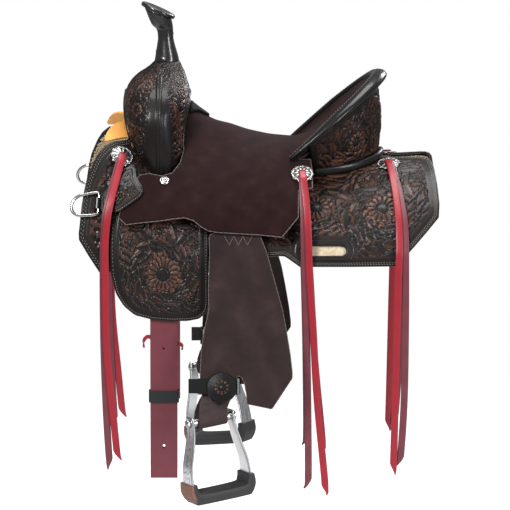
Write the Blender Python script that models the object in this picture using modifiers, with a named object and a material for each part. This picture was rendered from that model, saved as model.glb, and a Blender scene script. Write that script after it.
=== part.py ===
"""A western barrel racing saddle, built as its maker builds it: a wooden tree, skirts lined with
fleece laid over the horse's back, a covered swell with a horn, a rough-out seat that runs up to a
rolled cantle, drop rigging panels, free-swinging fenders with stirrups, and leather strings.

Lengths are in millimetres and turn into metres only when a mesh is made. X runs from the horn to
the rear, Z is up, and the near side of the saddle is towards -Y. "out" is the distance from the
middle plane towards either side.
"""

import math

import bmesh
import bpy
from mathutils import Matrix, Vector

MM = 0.001

# The horse's back that the whole saddle is laid on
BACK_HALF_WIDTH = 205.0
BACK_WIDEST_Z = -170.0
BACK_ROUNDNESS = 1.6
WITHERS_RISE = 90.0
WITHERS_LENGTH = 300.0
WITHERS_FOOT_X = 60.0
LOIN_RISE = 12.0
LOIN_LENGTH = 250.0
PATTERN_RADIUS = 200.0

# Where laid sheets are cut into cells, the same for all so that their faces stay parallel
CELL_LINES_X = (-296, -262, -228, -194, -160, -126, -92, -58, -24, 10, 44, 110, 190, 270)
CELL_STEP_ROUND = 20.0

# Leather, fleece and wood thicknesses, from the horse outwards
FLEECE_THICKNESS = 11.0
SKIRT_THICKNESS = 5.0
RIGGING_STRAP_THICKNESS = 4.5
PANEL_THICKNESS = 5.4
BAR_THICKNESS = 16.5
SEAT_THICKNESS = 5.4
GROUND_SEAT_THICKNESS = 5.0
LINING_THICKNESS = 4.0
FENDER_THICKNESS = 4.5
LAYER_GAP = 0.9
FIT_GAP = 0.4

SKIRT_FROM = FLEECE_THICKNESS + LAYER_GAP
SKIRT_FACE = SKIRT_FROM + SKIRT_THICKNESS
PANEL_FROM = SKIRT_FACE + LAYER_GAP
PANEL_FACE = PANEL_FROM + PANEL_THICKNESS

# The seat and its jockeys
SEAT_HALF_WIDTH = BACK_HALF_WIDTH + 35.0
SEAT_WIDEST_Z = -120.0
SEAT_POCKET_Z = 56.0
SEAT_RIDGE_WIDTH = 75.0
SEAT_TOP_LINE = ((-127, 117), (-89, 89), (-52, 77), (-15, 65), (22, 56), (59, 51), (90, 51))
SEAT_OUTLINE = (
    (-253, -64), (-239, -76), (-210, -72.5), (-182, -70), (-158, -66.5), (-134, -64), (-118, -69),
    (-104, -80), (-91, -87), (-76, -89.5), (-54, -91), (0, -94), (41, -98), (70.5, -63), (71, -18),
    (96, -14), (96, 12), (300, 12), (300, 300), (-122, 300), (-128, 128), (-131, 113), (-133, 96), (-135, 71),
    (-137, 42), (-143, 24), (-157, 9), (-176, 4.5), (-198, 8), (-214, 6), (-231, -10), (-243, -30),
)

# The cantle: its rolled rim is half an ellipse that leans back
CANTLE_FOOT_X = 52.0
CANTLE_LENGTH = 162.0
CANTLE_HALF_WIDTH = 140.0
CANTLE_FOOT_Z = 28.0
CANTLE_RISE = 140.0
ROLL_RADIUS = 9.5
ROLL_END_SHARE = 0.42
ROLL_LIP = 5.0
CANTLE_LEATHER = 4.5
BASE_FOOT_X = 62.0
BASE_LENGTH = 155.0
BASE_HALF_WIDTH = 88.0
BASE_SQUARENESS = 0.75
BINDING_HEIGHT = 12.0
BINDING_WIDTH = 10.0
CANTLE_END_ANGLE = 76.0
SEAT_SEAM_X = 59.0
SEAT_SEAM_HALF_WIDTH = 129.0
GROUND_SEAT_HALF_WIDTH = SEAT_SEAM_HALF_WIDTH - 13.0
DISH_HOLLOW = 1.9
ROLL_CLEAR = 1.2
WALL_SHARES = (0, 0.25, 0.5, 0.75, 1)
WALL_BULGE = 6.0

# The skirts, panels and the hidden rigging, as seen from the side
SKIRT_OUTLINE = (
    (-239, 62), (-262, 61), (-277, 56), (-289.5, 44), (-299, 28), (-310.5, 0), (-315, -19),
    (-319.5, -45), (-322.5, -73), (-325, -94), (-324.5, -106), (-306, -137), (-286.5, -167),
    (-250, -163), (-120, -150), (0, -137.5), (18, -136.5), (44, -135), (50, -138), (74, -155.5),
    (95, -155), (165, -155), (248, -154), (254, -151), (256, -147), (274, -125), (306, -89),
    (324.5, -67.5), (326, -46), (323, -17), (318, 10), (313, 17.5), (307, 20.5), (296, 21.5), (238, 20.5),
)
SKIRT_SPINE_GAP = 24.0
SKIRT_TOP_EDGE = (
    (238, 24), (170, 24), (100, 24), (40, 24), (-20, 24), (-80, 24), (-140, 24), (-172, 30), (-207, 50),
)
FLEECE_MARGIN = 8.0
SLOT_START_X = 74.0
SLOT_END_X = 157.0
SLOT_Z = -126.0
SLOT_HEIGHT = 17.5
PANEL_OUTLINE = (
    (-262, -38), (-266, -70), (-268.5, -100), (-268.5, -134), (-266.5, -168), (-258, -203), (-243.5, -226),
    (-224, -242), (-192, -250.5), (-160, -253), (-128, -252.5), (-108, -248.5), (-96, -238),
    (-91.5, -225), (-91.5, -183), (-91.5, -98), (-96, -62), (-150, -44),
)
RING_X = -172.0
RING_TOP_Z = -178.0
RING_OUT = BACK_HALF_WIDTH + 6.0
RING_WIDTH = 84.0
RING_HEIGHT = 52.0
RING_WIRE = 8.0
RING_ROOM = 0.9
RIGGING_STRAP_TOP_Z = -166.0
RIGGING_STRAP_WIDTH = 48.0
LATIGO_WIDTH = 49.0
LATIGO_THICKNESS = 4.5
LATIGO_BOTTOM_Z = -541.0
BILLET_BOTTOM_Z = -470.0
LATIGO_HOLES_Z = (-302.0, -483.0)
LATIGO_HOLE = 5.0
KEEPER_Z = -392.0
KEEPER_HEIGHT = 21.0
KEEPER_WALL = 2.4

# The bars of the tree, as a pattern of x and distance round the back
BAR_REACH = 140.0
BAR_OUTLINE = (
    (-232, 86), (-190, 68), (-110, 56), (0, 50), (120, 42), (176, 36), (190, 42), (188, 52), (150, 66),
    (95, 70), (60, 104), (-40, 110), (-130, 106), (-156, 117), (-200, 136), (-232, 126),
)

# The natural leather over the withers, as a pattern of the near half
LINING_OUTLINE = (
    (-150, 20), (-172, 25), (-207, 44), (-240, 110), (-262, 126), (-279, 138.5), (-281, 134),
    (-277, 122), (-270, 106), (-260, 91), (-248, 78), (-236, 60), (-224, 34),
)
LINING_FRONT_X = -219.0

# The swell, level by level: (height, front x, rear x, half width, squareness)
SWELL_LEVELS = (
    (6, -206, -148, 151, 4.0), (22, -217, -143, 155, 4.0), (42, -228.5, -137.5, 160, 3.6),
    (62, -236, -136, 164, 3.2), (84, -241.5, -134, 166, 2.9), (104, -244.5, -131.5, 165, 2.7),
    (122, -244.5, -128, 158, 2.7), (140, -240.5, -129, 144, 2.7), (153, -233, -132.5, 126, 2.7),
    (164, -222, -135.5, 102, 2.7), (174, -209, -139.5, 75, 2.7), (184, -197, -143.5, 48, 2.7),
    (193, -189, -147, 28, 2.7),
)
SWELL_LEATHER = 4.5
GULLET_HALF_WIDTH = 104.0
GULLET_HEIGHT = 138.0

# The horn: (height, centre x, half length along x, half width along y)
HORN_NECK = (
    (203, -168.5, 21.5, 20.5), (222, -169.8, 16.5, 16.0), (236, -170.5, 14.2, 14.0),
    (251, -172.0, 15.2, 15.0),
)
HORN_FLARE = ((262, -177.5, 19.5, 19.0), (272, -182.5, 25.5, 24.5))
HORN_CAP_LENGTH = 66.0
HORN_CAP_WIDTH = 58.0
HORN_CAP_THICKNESS = 8.0
HORN_CAP_TILT = 24.0
HORN_CAP_CENTRE = (-184.0, 286.0)
HORN_CORE_RADIUS = 9.0
HORN_CORE_FOOT = (-167.0, 0.0, 158.0)
HORN_CORE_TOP = (-178.5, 0.0, 266.0)

# The fender hangs in a plane that leans out, and swings about an axis square to that plane
FENDER_LEAN = 14.0
FENDER_PIVOT_X = -66.3
FENDER_PIVOT_Z = 0.0
FENDER_PIVOT_OUT = BACK_HALF_WIDTH - 3.9
FENDER_OUTLINE = (
    (-69, -85), (-19, -85), (2, -98), (14, -128), (28, -178), (42, -227), (49, -264), (56, -306),
    (59.5, -336), (59.5, -347), (23, -401), (-21.5, -392), (-22.5, -376), (-26.5, -355),
    (-31.5, -345), (-40, -343), (-41, -373), (-103, -373), (-106, -343), (-103.5, -295),
    (-97.5, -260), (-90, -226), (-91, -195), (-89, -131), (-90, -98),
)
STIRRUP_LEATHER_WIDTH = 56.0
STIRRUP_LEATHER_X = -75.0
STIRRUP_LEATHER_TOP_X = -50.0
LEATHER_TOP = -100.0
LEATHER_END = -262.0
TWIST_STARTS = -388.0
TWIST = ((-393.0, 0.25, 0.04), (-402.0, 0.62, 0.42), (-413.0, 0.95, 0.9))
HOBBLE_STRAP_Z = -361.0
HOBBLE_STRAP_HEIGHT = 27.0
HOBBLE_WALL = 3.0
HOBBLE_FRONT_X = -107.5
HOBBLE_BACK_X = -37.0
HOBBLE_TAB_X = -127.0
MEDALLION_RADIUS = 27.5
MEDALLION_X = -67.0
MEDALLION_DOME = ((26.5, 0), (MEDALLION_RADIUS, 1.8), (26.0, 3.8), (13.8, 5.8), (4.1, 6.4))
BUCKLE_Z = -273.0
BUCKLE_WIRE = 2.2
BAR_LEATHER_ROOM = 2.4
BAR_LEATHER_PATH = (
    (BACK_HALF_WIDTH - 54, -18), (BACK_HALF_WIDTH - 30, -46), (BACK_HALF_WIDTH - 7, -71),
)
BAR_LEATHER_ENDS = (-97.0, -128.0)

# The stirrup, hung on its bolt
STIRRUP_YAW = 25.0
STIRRUP_ROLL = 7.0
BOLT_HEIGHT = -431.0
BOLT_X = -87.0
BOLT_RADIUS = 5.0
ROLLER_RADIUS = 7.5
ROLLER_ROOM = 0.8
BRANCH_TOP_SPREAD = 40.0
BRANCH_BOTTOM_SPREAD = 60.0
BRANCH_THICKNESS = 6.0
BRANCH_TOP_WIDTH = 28.0
BRANCH_BOTTOM_WIDTH = 44.0
STIRRUP_ABOVE_BOLT = 11.0
STIRRUP_DROP = 134.0
TREAD_WIDTH = 52.0
TREAD_UPTURN = 26.0

# Dee tab and ring on the front
TAB_OUTLINE = (
    (-226, 25), (-222, 1.5), (-210.5, -14.5), (-208.5, -22), (-214.5, -29.5), (-233.5, -42), (-251, -53),
    (-278, -60), (-286, -53), (-286, -31), (-276, -21), (-262, -5), (-248, 16),
)
TAB_THICKNESS = 4.0
TAB_FRONT_X = -286.0
TAB_BACK_X = -236.0
DEE_LENGTH = 53.0
DEE_HEIGHT = 41.0
DEE_WIRE = 5.5
DEE_BAR_X = -290.0
DEE_TOP_Z = -24.0
DEE_LOOP_WALL = 2.6
DEE_LOOP_HEIGHT = 20.0

# Conchos and strings. A concho's place is its (x, y) on the near side
CONCHO_RADIUS = 21.5
CONCHO_THICKNESS = 3.2
CONCHO_DOME = 3.0
CONCHO_SCALLOPS = 10
SCALLOP_DEPTH = 0.06
CONCHO_LEVELS = (
    (0.93, 0, SCALLOP_DEPTH), (1.0, CONCHO_THICKNESS * 0.5, SCALLOP_DEPTH),
    (0.9, CONCHO_THICKNESS, SCALLOP_DEPTH), (0.45, CONCHO_THICKNESS + CONCHO_DOME, 0),
)
FRONT_CONCHO = (-249.0, -147.0)
MID_CONCHO = (78.0, -168.0)
REAR_CONCHO = (236.0, -62.0)
STRING_WIDTH = 13.0
STRING_THICKNESS = 2.8
STRING_OUT = BACK_HALF_WIDTH + 19.1
STRING_STEP = 3.2
SCREW_RADIUS = 9.5
SCREW_LEVELS = ((SCREW_RADIUS, 0.7), (SCREW_RADIUS, 2.0), (6.7, 3.6), (2.9, 4.2))
SEAT_SCREW = (-171.0, -4.5)

QUARTER_TURN = PATTERN_RADIUS * math.pi / 2
BAR_FROM = SKIRT_FACE + LAYER_GAP
FRONT_LAYER = -FIT_GAP * 2 - FENDER_THICKNESS / 2
LEATHER_BEND = ROLLER_RADIUS + ROLLER_ROOM + FENDER_THICKNESS / 2
BOLT_BEHIND = LEATHER_BEND - FRONT_LAYER
NEAR, OFF = -1, 1
SIDES = ((NEAR, "near"), (OFF, "off"))


def clear_scene():
    for obj in list(bpy.data.objects):
        bpy.data.objects.remove(obj, do_unlink=True)


def make_collection(name):
    collection = bpy.data.collections.new(name)
    bpy.context.scene.collection.children.link(collection)
    return collection


def make_material(name, colour, roughness, metallic=0.0):
    material = bpy.data.materials.new(name)
    material.use_nodes = True
    shader = material.node_tree.nodes["Principled BSDF"]
    shader.inputs["Base Color"].default_value = (*colour, 1.0)
    shader.inputs["Roughness"].default_value = roughness
    shader.inputs["Metallic"].default_value = metallic
    return material


def spine_height(x):
    """Height of the horse's back on the middle line."""
    if x < WITHERS_FOOT_X:
        return WITHERS_RISE * ((WITHERS_FOOT_X - x) / WITHERS_LENGTH) ** 2
    return LOIN_RISE * ((x - WITHERS_FOOT_X) / LOIN_LENGTH) ** 2


def on_back(x, round_way, offset):
    """A point at a distance round the back and an offset from it. Below the widest line it hangs plumb."""
    if round_way >= QUARTER_TURN:
        return Vector((x, BACK_HALF_WIDTH + offset, BACK_WIDEST_Z - (round_way - QUARTER_TURN)))
    angle = round_way / PATTERN_RADIUS
    height = spine_height(x) - BACK_WIDEST_Z + offset
    out = (BACK_HALF_WIDTH + offset) * math.sin(abs(angle)) ** (2 / BACK_ROUNDNESS)
    return Vector((x, math.copysign(out, angle), BACK_WIDEST_Z + height * math.cos(angle)))


def way_round_back(x, z, offset):
    """The distance round the back at which the surface at this offset has this height."""
    if z <= BACK_WIDEST_Z:
        return QUARTER_TURN + BACK_WIDEST_Z - z
    share = (z - BACK_WIDEST_Z) / (spine_height(x) - BACK_WIDEST_Z + offset)
    return PATTERN_RADIUS * math.acos(min(share, 1.0))


def back_out(x, z, offset):
    """How far out the surface at this offset lies at this height."""
    return on_back(x, way_round_back(x, z, offset), offset).y


def back_height(x, y, offset):
    """Height of the surface at this offset above a place."""
    share = min(abs(y) / (BACK_HALF_WIDTH + offset), 1.0)
    height = spine_height(x) - BACK_WIDEST_Z + offset
    return BACK_WIDEST_Z + height * math.sqrt(1 - share**BACK_ROUNDNESS)


def seat_out(z, offset=0.0):
    """How far out the seat's face lies at this height."""
    share = (z - SEAT_WIDEST_Z) / (SEAT_POCKET_Z - SEAT_WIDEST_Z + offset)
    share = min(max(share, 0.0), 1.0)
    return (SEAT_HALF_WIDTH + offset) * math.sqrt(1 - share * share)


def smooth_line(points, x):
    """The height of a smooth line through the points, held level past its ends."""
    if x <= points[0][0]:
        return points[0][1]
    if x >= points[-1][0]:
        return points[-1][1]
    index = max(i for i in range(len(points) - 1) if points[i][0] <= x)
    before = points[max(index - 1, 0)]
    start, end = points[index], points[index + 1]
    after = points[min(index + 2, len(points) - 1)]
    span = end[0] - start[0]
    t = (x - start[0]) / span
    slope_in = (end[1] - before[1]) / (end[0] - before[0]) * span
    slope_out = (after[1] - start[1]) / (after[0] - start[0]) * span
    return (
        (2 * t**3 - 3 * t**2 + 1) * start[1]
        + (t**3 - 2 * t**2 + t) * slope_in
        + (3 * t**2 - 2 * t**3) * end[1]
        + (t**3 - t**2) * slope_out
    )


def seat_height(x, y):
    """The face of the seat and jockeys: a barrel with a ridge that climbs to the swell."""
    barrel = (SEAT_POCKET_Z - SEAT_WIDEST_Z) * math.sqrt(max(1 - (y / SEAT_HALF_WIDTH) ** 2, 0.0))
    ridge = (smooth_line(SEAT_TOP_LINE, x) - SEAT_POCKET_Z) * math.exp(-((y / SEAT_RIDGE_WIDTH) ** 2))
    return SEAT_WIDEST_Z + barrel + ridge


def rim_point(angle, grow=0.0, drop=0.0):
    """The middle of the cantle's roll. The angle is 0 at the top of the cantle."""
    return Vector((
        CANTLE_FOOT_X + (CANTLE_LENGTH + grow) * math.cos(angle),
        (CANTLE_HALF_WIDTH + grow) * math.sin(angle),
        CANTLE_FOOT_Z + CANTLE_RISE * math.cos(angle) - drop,
    ))


def base_point(angle, grow=0.0, rise=0.0):
    """The foot of the cantle's back, which stands on the skirts."""
    x = BASE_FOOT_X + (BASE_LENGTH + grow) * math.cos(angle)
    y = math.copysign((BASE_HALF_WIDTH + grow) * abs(math.sin(angle)) ** BASE_SQUARENESS, angle)
    return Vector((x, y, back_height(x, y, SKIRT_FACE + LAYER_GAP) + rise))


def roll_radius(angle):
    """The roll thins towards its front ends."""
    share = min(1.0, 2 * math.cos(angle))
    return ROLL_RADIUS * (ROLL_END_SHARE + (1 - ROLL_END_SHARE) * share)


def link(name, mesh, material, collection, origin=(0, 0, 0)):
    """Makes a named object whose origin is the given point in millimetres."""
    obj = bpy.data.objects.new(name, mesh)
    collection.objects.link(obj)
    obj.location = Vector(origin) * MM
    if material:
        mesh.materials.append(material)
    return obj


def to_mesh(name, bm, origin=(0, 0, 0), side=OFF):
    """Turns millimetres into metres about the origin. A near-side piece is the off-side one mirrored."""
    if side == NEAR:
        bmesh.ops.transform(bm, matrix=Matrix.Scale(-1, 4, (0, 1, 0)), verts=bm.verts)
        bmesh.ops.reverse_faces(bm, faces=bm.faces)
    bmesh.ops.translate(bm, vec=-Vector(origin), verts=bm.verts)
    bmesh.ops.scale(bm, vec=(MM, MM, MM), verts=bm.verts)
    mesh = bpy.data.meshes.new(name)
    bm.to_mesh(mesh)
    bm.free()
    mesh.shade_smooth()
    mesh.set_sharp_from_angle(angle=math.radians(35))
    return mesh


def modifier_mesh(mesh, thickness, offset):
    """The mesh of a sheet after a Solidify of a thickness in millimetres."""
    holder = bpy.data.objects.new("holder", mesh)
    bpy.context.scene.collection.objects.link(holder)
    solidify = holder.modifiers.new("Thickness", "SOLIDIFY")
    solidify.thickness = thickness * MM
    solidify.offset = offset
    solidify.use_quality_normals = True
    return evaluated_mesh(holder)


def evaluated_mesh(obj):
    """The mesh of an object as its modifiers leave it, and the object is removed."""
    bpy.context.view_layer.update()
    graph = bpy.context.evaluated_depsgraph_get()
    made = bpy.data.meshes.new_from_object(obj.evaluated_get(graph))
    bpy.data.objects.remove(obj, do_unlink=True)
    return made


def add_boolean(obj, cutter, operation="DIFFERENCE"):
    boolean = obj.modifiers.new(cutter.name, "BOOLEAN")
    boolean.operation = operation
    boolean.object = cutter
    return boolean


def hide(cutter):
    cutter.hide_render = True
    cutter.display_type = "WIRE"
    return cutter


def dense(outline, longest, closed=True):
    """The outline with no edge longer than given."""
    points = [] if closed else [outline[-1]]
    ends = outline[1:] + outline[:1] if closed else outline[1:]
    for start, end in zip(outline, ends):
        steps = max(1, math.ceil(math.dist(start, end) / longest))
        for step in range(steps):
            share = step / steps
            points.append((start[0] + (end[0] - start[0]) * share, start[1] + (end[1] - start[1]) * share))
    return points if closed else points[1:] + points[:1]


def cut_pattern(pattern, lines_x=CELL_LINES_X, step=CELL_STEP_ROUND):
    """A flat sheet of (x, distance round) cut into cells, as a mesh in the XY plane."""
    bm = bmesh.new()
    bm.faces.new([bm.verts.new((x, way, 0)) for x, way in pattern])
    low = [min(p[i] for p in pattern) for i in (0, 1)]
    high = [max(p[i] for p in pattern) for i in (0, 1)]
    first = math.ceil((low[1] + 1) / step)
    last = math.floor((min(high[1], QUARTER_TURN + step) - 1) / step)
    cuts = [((1, 0, 0), x) for x in lines_x] + [((0, 1, 0), step * i) for i in range(first, last + 1)]
    for normal, place in cuts:
        axis = 0 if normal[0] else 1
        if low[axis] + 1 < place < high[axis] - 1:
            geometry = bm.verts[:] + bm.edges[:] + bm.faces[:]
            point = Vector(normal) * place
            bmesh.ops.bisect_plane(bm, geom=geometry, plane_co=point, plane_no=normal, dist=0.01)
    bmesh.ops.remove_doubles(bm, verts=bm.verts, dist=0.05)
    bmesh.ops.triangulate(bm, faces=bm.faces)
    return bm


def face_out(bm, side_test):
    """Turns the sheet so that its faces look away from the saddle's middle."""
    bm.normal_update()
    total = sum(side_test(face) * face.calc_area() for face in bm.faces)
    if total < 0:
        bmesh.ops.reverse_faces(bm, faces=bm.faces)
    bm.normal_update()


def looks_out(face):
    return face.normal.y + 0.6 * face.normal.z


def laid_sheet(pattern, shift):
    """A pattern of (x, distance round the back) laid at the skirts' face and moved off it, square to it."""
    bm = cut_pattern(pattern)
    for vert in bm.verts:
        vert.co = on_back(vert.co.x, vert.co.y, SKIRT_FACE)
    face_out(bm, looks_out)
    moved = [(vert, vert.normal * shift) for vert in bm.verts]
    for vert, step in moved:
        vert.co += step
    return bm


def side_pattern(outline, offset, longest=26.0, closed=True):
    """Side-view points (x, z) turned into pattern points on the back."""
    return [(x, way_round_back(x, z, offset)) for x, z in dense(list(outline), longest, closed)]


def laid_pair(base_name, pattern, shift, thickness, material):
    """The near and off sheets of one pattern, from a distance off the skirts' face and outwards."""
    made = {}
    for side, label in SIDES:
        bm = laid_sheet(pattern, shift)
        mesh = modifier_mesh(to_mesh(base_name, bm, side=side), thickness, 1.0)
        made[side] = link(f"{label}_{base_name}", mesh, material, SADDLE)
    return made


def loft(rings, close_ends=True):
    """A closed skin through rings of points that run the same way."""
    bm = bmesh.new()
    rows = [[bm.verts.new(point) for point in ring] for ring in rings]
    count = len(rows[0])
    for first, second in zip(rows, rows[1:]):
        for i in range(count):
            j = (i + 1) % count
            bm.faces.new((first[i], first[j], second[j], second[i]))
    if close_ends:
        bm.faces.new(rows[0][::-1])
        bm.faces.new(rows[-1])
    bmesh.ops.recalc_face_normals(bm, faces=bm.faces)
    return bm


def ring_of(centre, half_x, half_y, count=20, squareness=2.0, turn=0.0):
    """A level ring: a rounded rectangle whose squareness is 2 for an ellipse."""
    points = []
    for i in range(count):
        angle = 2 * math.pi * i / count + turn
        c, s = math.cos(angle), math.sin(angle)
        x = half_x * math.copysign(abs(c) ** (2 / squareness), c)
        y = half_y * math.copysign(abs(s) ** (2 / squareness), s)
        points.append(Vector((centre[0] + x, centre[1] + y, centre[2])))
    return points


def prism(name, outline, low, high, axis):
    """A hidden cutter: an outline in the plane square to an axis, run from low to high along it."""
    bm = bmesh.new()

    def place(point, depth):
        a, b = point
        return {"y": (a, depth, b), "x": (depth, a, b), "z": (a, b, depth)}[axis]

    first = [bm.verts.new(place(p, low)) for p in outline]
    second = [bm.verts.new(place(p, high)) for p in outline]
    for i in range(len(outline)):
        j = (i + 1) % len(outline)
        bm.faces.new((first[i], first[j], second[j], second[i]))
    bm.faces.new(first[::-1])
    bm.faces.new(second)
    bmesh.ops.recalc_face_normals(bm, faces=bm.faces)
    return hide(link(name, to_mesh(name, bm), None, CUTTERS))


def strip_ring(place, width_way, half_width, half_thickness, thick_way):
    """The four corners of a flat strap's section."""
    w = Vector(width_way) * half_width
    t = Vector(thick_way) * half_thickness
    return [place - w - t, place + w - t, place + w + t, place - w + t]


def swept_strap(stations):
    """A flat strap through (place, width direction, thickness direction, width, thickness)."""
    rings = [strip_ring(Vector(p), w, width / 2, thick / 2, t) for p, w, t, width, thick in stations]
    return loft(rings)


def path_strap(path, width, thickness, x_centre):
    """A strap whose middle runs through (out, z) points and whose width lies along X."""
    stations = []
    for i, (out, z) in enumerate(path):
        before, after = path[max(i - 1, 0)], path[min(i + 1, len(path) - 1)]
        run = Vector((0, after[0] - before[0], after[1] - before[1])).normalized()
        normal = Vector((0, -run.z, run.y))
        stations.append((Vector((x_centre, out, z)), (1, 0, 0), normal, width, thickness))
    return swept_strap(stations)


def arc(centre, radius, start, end, count):
    """Points of an arc in (out, z), with angles in degrees from outwards towards up."""
    return [
        (
            centre[0] + radius * math.cos(math.radians(start + (end - start) * i / (count - 1))),
            centre[1] + radius * math.sin(math.radians(start + (end - start) * i / (count - 1))),
        )
        for i in range(count)
    ]


def wire_ring(corners, wire_radius, sides=8):
    """A closed wire of round section through a flat loop of points."""
    count = len(corners)
    middle = sum((Vector(c) for c in corners), Vector()) / count
    normal = (Vector(corners[1]) - middle).cross(Vector(corners[0]) - middle).normalized()
    rows = []
    for i in range(count):
        here = Vector(corners[i])
        before = (here - Vector(corners[i - 1])).normalized()
        after = (Vector(corners[(i + 1) % count]) - here).normalized()
        run = (before + after).normalized()
        across = run.cross(normal).normalized()
        stretch = 1 / max(run.dot(after), 0.5)
        rows.append([
            here
            + across * (stretch * wire_radius * math.cos(2 * math.pi * k / sides))
            + normal * (wire_radius * math.sin(2 * math.pi * k / sides))
            for k in range(sides)
        ])
    bm = bmesh.new()
    verts = [[bm.verts.new(point) for point in row] for row in rows]
    for i in range(count):
        first, second = verts[i], verts[(i + 1) % count]
        for k in range(sides):
            n = (k + 1) % sides
            bm.faces.new((first[k], first[n], second[n], second[k]))
    bmesh.ops.recalc_face_normals(bm, faces=bm.faces)
    return bm


def rounded_box_loop(width, height, radius, steps=4):
    """A rounded rectangle as (a, b) points about its middle."""
    points = []
    for quarter, (sx, sy) in enumerate(((1, 1), (-1, 1), (-1, -1), (1, -1))):
        cx, cy = sx * (width / 2 - radius), sy * (height / 2 - radius)
        for i in range(steps):
            angle = math.pi / 2 * (quarter + i / (steps - 1))
            points.append((cx + radius * math.cos(angle), cy + radius * math.sin(angle)))
    return points


def make_tree():
    """The two wooden bars, and the fork that stands on them over the withers."""
    laid_pair("bar", list(BAR_OUTLINE), LAYER_GAP, BAR_THICKNESS, WOOD)
    inner = -SWELL_LEATHER - 2 * FIT_GAP
    levels = [swell_ring(level, inner) for level in SWELL_LEVELS[1:-1]]
    levels[-1] = [point - Vector((0, 0, 2 * FIT_GAP)) for point in levels[-1]]
    fork = link("fork", to_mesh("fork", loft(levels)), WOOD, SADDLE)
    arch = prism("fork_arch", gullet_outline(SWELL_LEATHER + 2 * FIT_GAP), -300.0, -100.0, "x")
    for cutter in (arch, BACK_BLOCK, HORN_SOCKET):
        add_boolean(fork, cutter)


def back_normal(x, way):
    """The direction square to the skirts' face."""
    along = on_back(x + 2, way, SKIRT_FACE) - on_back(x - 2, way, SKIRT_FACE)
    round_it = on_back(x, way + 2, SKIRT_FACE) - on_back(x, way - 2, SKIRT_FACE)
    return along.cross(round_it).normalized()


def back_block(name):
    """A hidden cutter: the front of the horse with fleece, skirts and bars on it."""
    ways = range(160, 321, 20)
    bar_ways = [*range(0, 121, 20), BAR_REACH]
    stations = [(way, LAYER_GAP + BAR_THICKNESS + LAYER_GAP) for way in bar_ways]
    stations += [(way, LAYER_GAP) for way in (BAR_REACH + 4, *ways)]
    stations = [(-way, reach) for way, reach in stations[:0:-1]] + stations
    rows = []
    for x in (-330, -296, -262, -228, -194, -160, -126, -92):
        ring = [on_back(x, way, SKIRT_FACE) + back_normal(x, way) * reach for way, reach in stations]
        ring += [Vector((ring[-1].x, ring[-1].y, -260)), Vector((ring[0].x, ring[0].y, -260))]
        rows.append(ring)
    return hide(link(name, to_mesh(name, loft(rows)), None, CUTTERS))


def swell_ring(level, grow):
    """One level of the swell, grown outwards by a distance."""
    z, front, back, half_width, squareness = level
    centre = ((front + back) / 2, 0, z)
    return ring_of(centre, (back - front) / 2 + grow, half_width + grow, 28, squareness)


def gullet_outline(grow):
    """The arch over the withers, as (y, z) points."""
    points = [(GULLET_HALF_WIDTH + grow, -40)]
    for i in range(11):
        angle = math.pi * i / 10
        points.append((
            (GULLET_HALF_WIDTH + grow) * math.cos(angle),
            (GULLET_HEIGHT + grow) * math.sin(angle) ** 0.8,
        ))
    points.append((-GULLET_HALF_WIDTH - grow, -40))
    return points


def make_swell():
    """The tooled cover over the fork and round its arch."""
    outer = [swell_ring(level, 0.0) for level in SWELL_LEVELS]
    cover = link("swell_cover", to_mesh("swell_cover", loft(outer)), TOOLED, SADDLE)
    low = SWELL_LEVELS[0][0] - 20
    inner = [swell_ring((low, *SWELL_LEVELS[0][1:]), -SWELL_LEATHER)]
    inner += [swell_ring(level, -SWELL_LEATHER) for level in SWELL_LEVELS[:-1]]
    cavity = hide(link("swell_cavity", to_mesh("swell_cavity", loft(inner)), None, CUTTERS))
    add_boolean(cavity, prism("cover_arch", gullet_outline(SWELL_LEATHER), -300.0, -100.0, "x"))
    for cutter in (BACK_BLOCK, cavity, GULLET_CUT, HORN_SOCKET):
        add_boolean(cover, cutter)


def make_lining():
    """The natural leather that lies over the withers between the skirts."""
    half = list(LINING_OUTLINE)
    mirrored = [(x, -way) for x, way in half[::-1]]
    pattern = half + [(LINING_FRONT_X, 0)] + mirrored + [(half[0][0], 0)]
    bm = cut_pattern(dense(pattern, 26.0))
    for vert in bm.verts:
        vert.co = on_back(vert.co.x, vert.co.y, SKIRT_FACE - LINING_THICKNESS)
    face_out(bm, lambda face: face.normal.z)
    mesh = modifier_mesh(to_mesh("gullet_lining", bm), LINING_THICKNESS, 1.0)
    link("gullet_lining", mesh, NATURAL, SADDLE)


def horn_ring(level, grow=0.0):
    z, x, half_x, half_y = level
    return ring_of((x, 0, z), half_x + grow, half_y + grow, 20)


def cap_ring(height, grow):
    """A ring of the horn cap at a height square to the cap's tilted face."""
    tilt = math.radians(HORN_CAP_TILT)
    points = []
    for i in range(28):
        angle = 2 * math.pi * i / 28
        along = (HORN_CAP_LENGTH / 2 + grow) * math.cos(angle)
        across = (HORN_CAP_WIDTH / 2 + grow) * math.sin(angle)
        points.append(Vector((
            HORN_CAP_CENTRE[0] + along * math.cos(tilt) + height * math.sin(tilt),
            across,
            HORN_CAP_CENTRE[1] - along * math.sin(tilt) + height * math.cos(tilt),
        )))
    return points


def horn_core(grow, longer):
    """The steel core, from inside the fork up into the flare."""
    foot, top = Vector(HORN_CORE_FOOT), Vector(HORN_CORE_TOP)
    run = (top - foot).normalized()
    ends = (foot - run * longer, top + run * longer)
    radius = HORN_CORE_RADIUS + grow
    return loft([ring_of(end, radius, radius, 16) for end in ends])


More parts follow.
